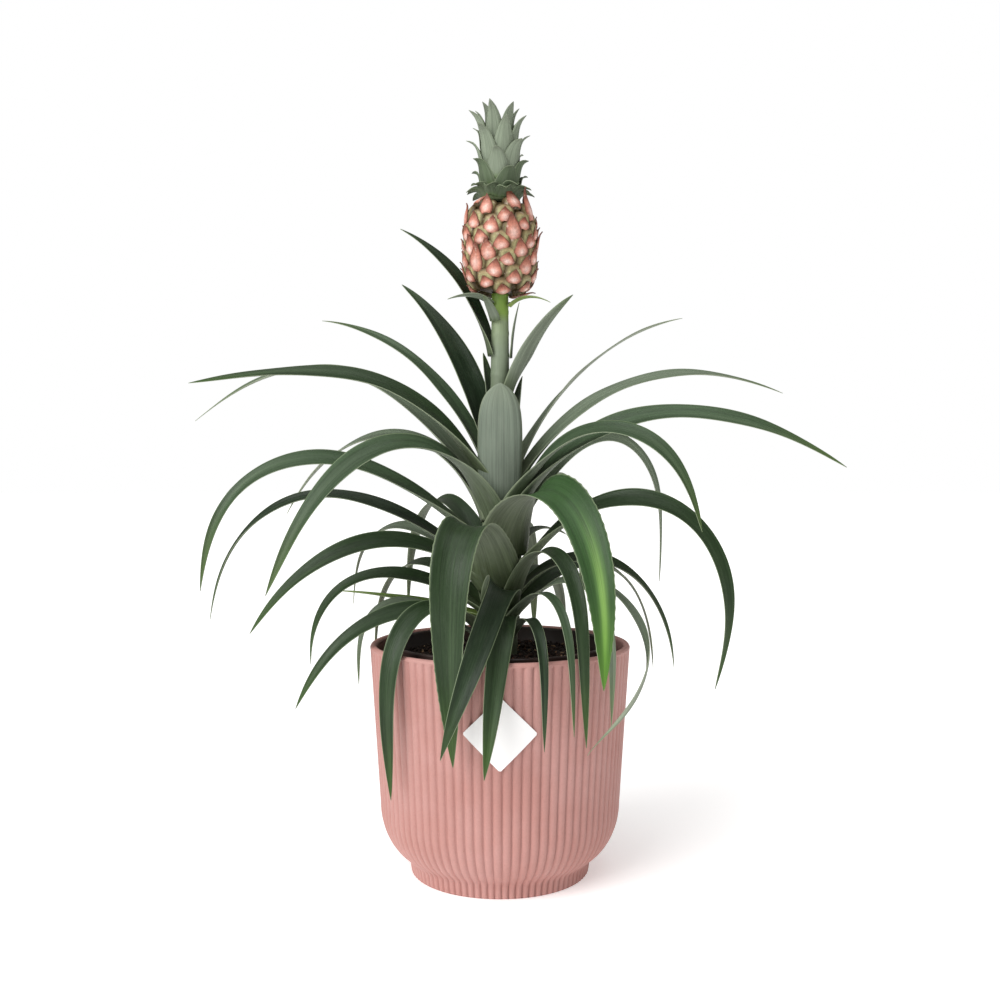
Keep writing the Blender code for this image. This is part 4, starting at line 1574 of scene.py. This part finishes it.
@dataclass
class BlankCard:
    """White card standing on its corner, bent round the front of the pot, with nothing on it."""

    pot: CoverPot
    height: float
    half_diagonal: float = 18.5 * MM
    thickness: float = 0.5 * MM
    gap: float = 0.3 * MM
    corner_radius: float = 1.2 * MM
    cuts: int = 24

    def build(self) -> bpy.types.Object:
        """Cuts, rounds and bends the card.

        Returns:
            The finished card.
        """
        shape = bmesh.new()
        side = self.half_diagonal * math.sqrt(2)
        bmesh.ops.create_grid(shape, x_segments=1, y_segments=1, size=side / 2,
                              matrix=Matrix.Rotation(math.pi / 4, 4, "Z"))
        bmesh.ops.bevel(shape, geom=shape.verts[:], offset=self.corner_radius, offset_type="OFFSET",
                        affect="VERTICES", segments=6, profile=0.5, material=-1)
        for cut in range(1, self.cuts):
            place = self.half_diagonal * (2 * cut / self.cuts - 1)
            bmesh.ops.bisect_plane(shape, geom=shape.verts[:] + shape.edges[:] + shape.faces[:],
                                   dist=0.000001, plane_co=(place, 0, 0), plane_no=(1, 0, 0))
        bmesh.ops.solidify(shape, geom=shape.faces[:], thickness=self.thickness)
        bmesh.ops.recalc_face_normals(shape, faces=shape.faces[:])
        low = min(corner.co.z for corner in shape.verts)
        for corner in shape.verts:
            height = self.height + corner.co.y
            radius = self.pot.wall_radius_at(height) + self.gap + (corner.co.z - low)
            angle = corner.co.x / radius - math.pi / 2
            corner.co = (radius * math.cos(angle), radius * math.sin(angle), height)
        bmesh.ops.recalc_face_normals(shape, faces=shape.faces[:])
        item = keep_piece(shape, "blank_card", ["pot_label"], [CardFinish().make()])
        item.data.shade_flat()
        return item


# ---------------------------------------------------------------------------- studio


@dataclass
class Studio:
    """Plain pale floor, soft light from the left, and the camera."""

    eye: tuple[float, float, float] = (0.0, -0.62, 0.2179)
    dip: float = 1.747
    lens: float = 41.58
    sensor: float = 36.0
    floor_size: float = 8.0
    floor_drop: float = 0.1 * MM
    floor_glow: float = 0.42
    surround: tuple[float, float, float, float] = (1.0, 0.95, 0.93, 1.0)
    surround_strength: float = 0.26

    def floor(self) -> None:
        """Lays the floor."""
        shape = bmesh.new()
        bmesh.ops.create_grid(shape, x_segments=1, y_segments=1, size=self.floor_size)
        mesh = bpy.data.meshes.new("studio_floor")
        shape.to_mesh(mesh)
        shape.free()
        g = Graph("studio_floor_white")
        mesh.materials.append(g.finish((0.9, 0.9, 0.9, 1.0), 0.9, Emission_Color=(1.0, 1.0, 1.0, 1.0),
                                       Emission_Strength=self.floor_glow))
        item = bpy.data.objects.new("studio_floor", mesh)
        bpy.context.scene.collection.objects.link(item)
        item.location.z = -self.floor_drop

    def sun(self, name: str, strength: float, spread: float, turn: float, height: float,
            colour: Colour) -> None:
        """Adds a soft distant lamp.

        Args:
            name: what it is called.
            strength: its irradiance.
            spread: its angular size.
            turn: where it stands, anticlockwise from +X.
            height: how high it stands.
            colour: its display colour.
        """
        data = bpy.data.lights.new(name, "SUN")
        data.energy = strength
        data.angle = math.radians(spread)
        data.color = linear(colour)[:3]
        lamp = bpy.data.objects.new(name, data)
        bpy.context.scene.collection.objects.link(lamp)
        turn, height = math.radians(turn), math.radians(height)
        flat = math.cos(height)
        source = Vector((flat * math.cos(turn), flat * math.sin(turn), math.sin(height)))
        lamp.rotation_mode = "QUATERNION"
        lamp.rotation_quaternion = source.to_track_quat("Z", "Y")

    def lights(self) -> None:
        """Sets the lamps and the bright surround."""
        self.sun("key_light", strength=2.2, spread=42, turn=226, height=32, colour=(255, 255, 254))
        self.sun("top_light", strength=1.3, spread=60, turn=240, height=74, colour=(255, 255, 255))
        world = bpy.data.worlds.new("studio_surround")
        world.use_nodes = True
        tree = world.node_tree
        tree.nodes.clear()
        path = tree.nodes.new("ShaderNodeLightPath")
        seen, light = (tree.nodes.new("ShaderNodeBackground") for _ in range(2))
        seen.inputs["Color"].default_value = (1.0, 1.0, 1.0, 1.0)
        seen.inputs["Strength"].default_value = 1.0
        light.inputs["Color"].default_value = self.surround
        light.inputs["Strength"].default_value = self.surround_strength
        mixed = tree.nodes.new("ShaderNodeMixShader")
        out = tree.nodes.new("ShaderNodeOutputWorld")
        tree.links.new(path.outputs["Is Camera Ray"], mixed.inputs[0])
        tree.links.new(light.outputs[0], mixed.inputs[1])
        tree.links.new(seen.outputs[0], mixed.inputs[2])
        tree.links.new(mixed.outputs[0], out.inputs["Surface"])
        bpy.context.scene.world = world

    def camera(self) -> None:
        """Places the camera."""
        data = bpy.data.cameras.new("studio_camera")
        data.lens = self.lens
        data.sensor_width = self.sensor
        item = bpy.data.objects.new("studio_camera", data)
        bpy.context.scene.collection.objects.link(item)
        item.location = self.eye
        item.rotation_euler = (math.radians(90 - self.dip), 0.0, 0.0)
        bpy.context.scene.camera = item

    def build(self) -> None:
        """Sets up the studio."""
        bpy.context.scene.view_settings.view_transform = "Standard"
        self.floor()
        self.lights()
        self.camera()


def span_of(node: str, axis: str = "z") -> Point:
    """Where a CAD node starts and ends on an axis, to a hundredth of a millimetre."""
    return tuple(round(getattr(corner, axis), 5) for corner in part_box(node))


def main() -> None:
    """Builds the plant, its pots and the studio, in order."""
    logging.basicConfig(level=logging.INFO, format="%(name)s: %(message)s")
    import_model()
    pot = CoverPot(height=span_of("cover_pot")[1], rim_radius=span_of("cover_pot", "x")[1])
    pot.build()
    foot, rim = span_of("nursery_pot")
    grow_pot = GrowPot(rim_height=rim, rim_radius=span_of("nursery_pot", "x")[1], foot_height=foot)
    grow_pot.build()
    bottom, crown_height = span_of("potting_soil")
    Soil(crown_height, bottom).build(grow_pot)
    stem = Stem()
    stem.build()
    foliage = Foliage()
    foliage.build(stem)
    low, high = span_of("fruit")
    Fruit(base=low, height=high - low).build()
    Crown(foliage, base=span_of("crown")[0]).build()
    BlankCard(pot, height=sum(span_of("pot_label")) / 2).build()
    Studio().build()


if __name__ == "__main__":
    main()
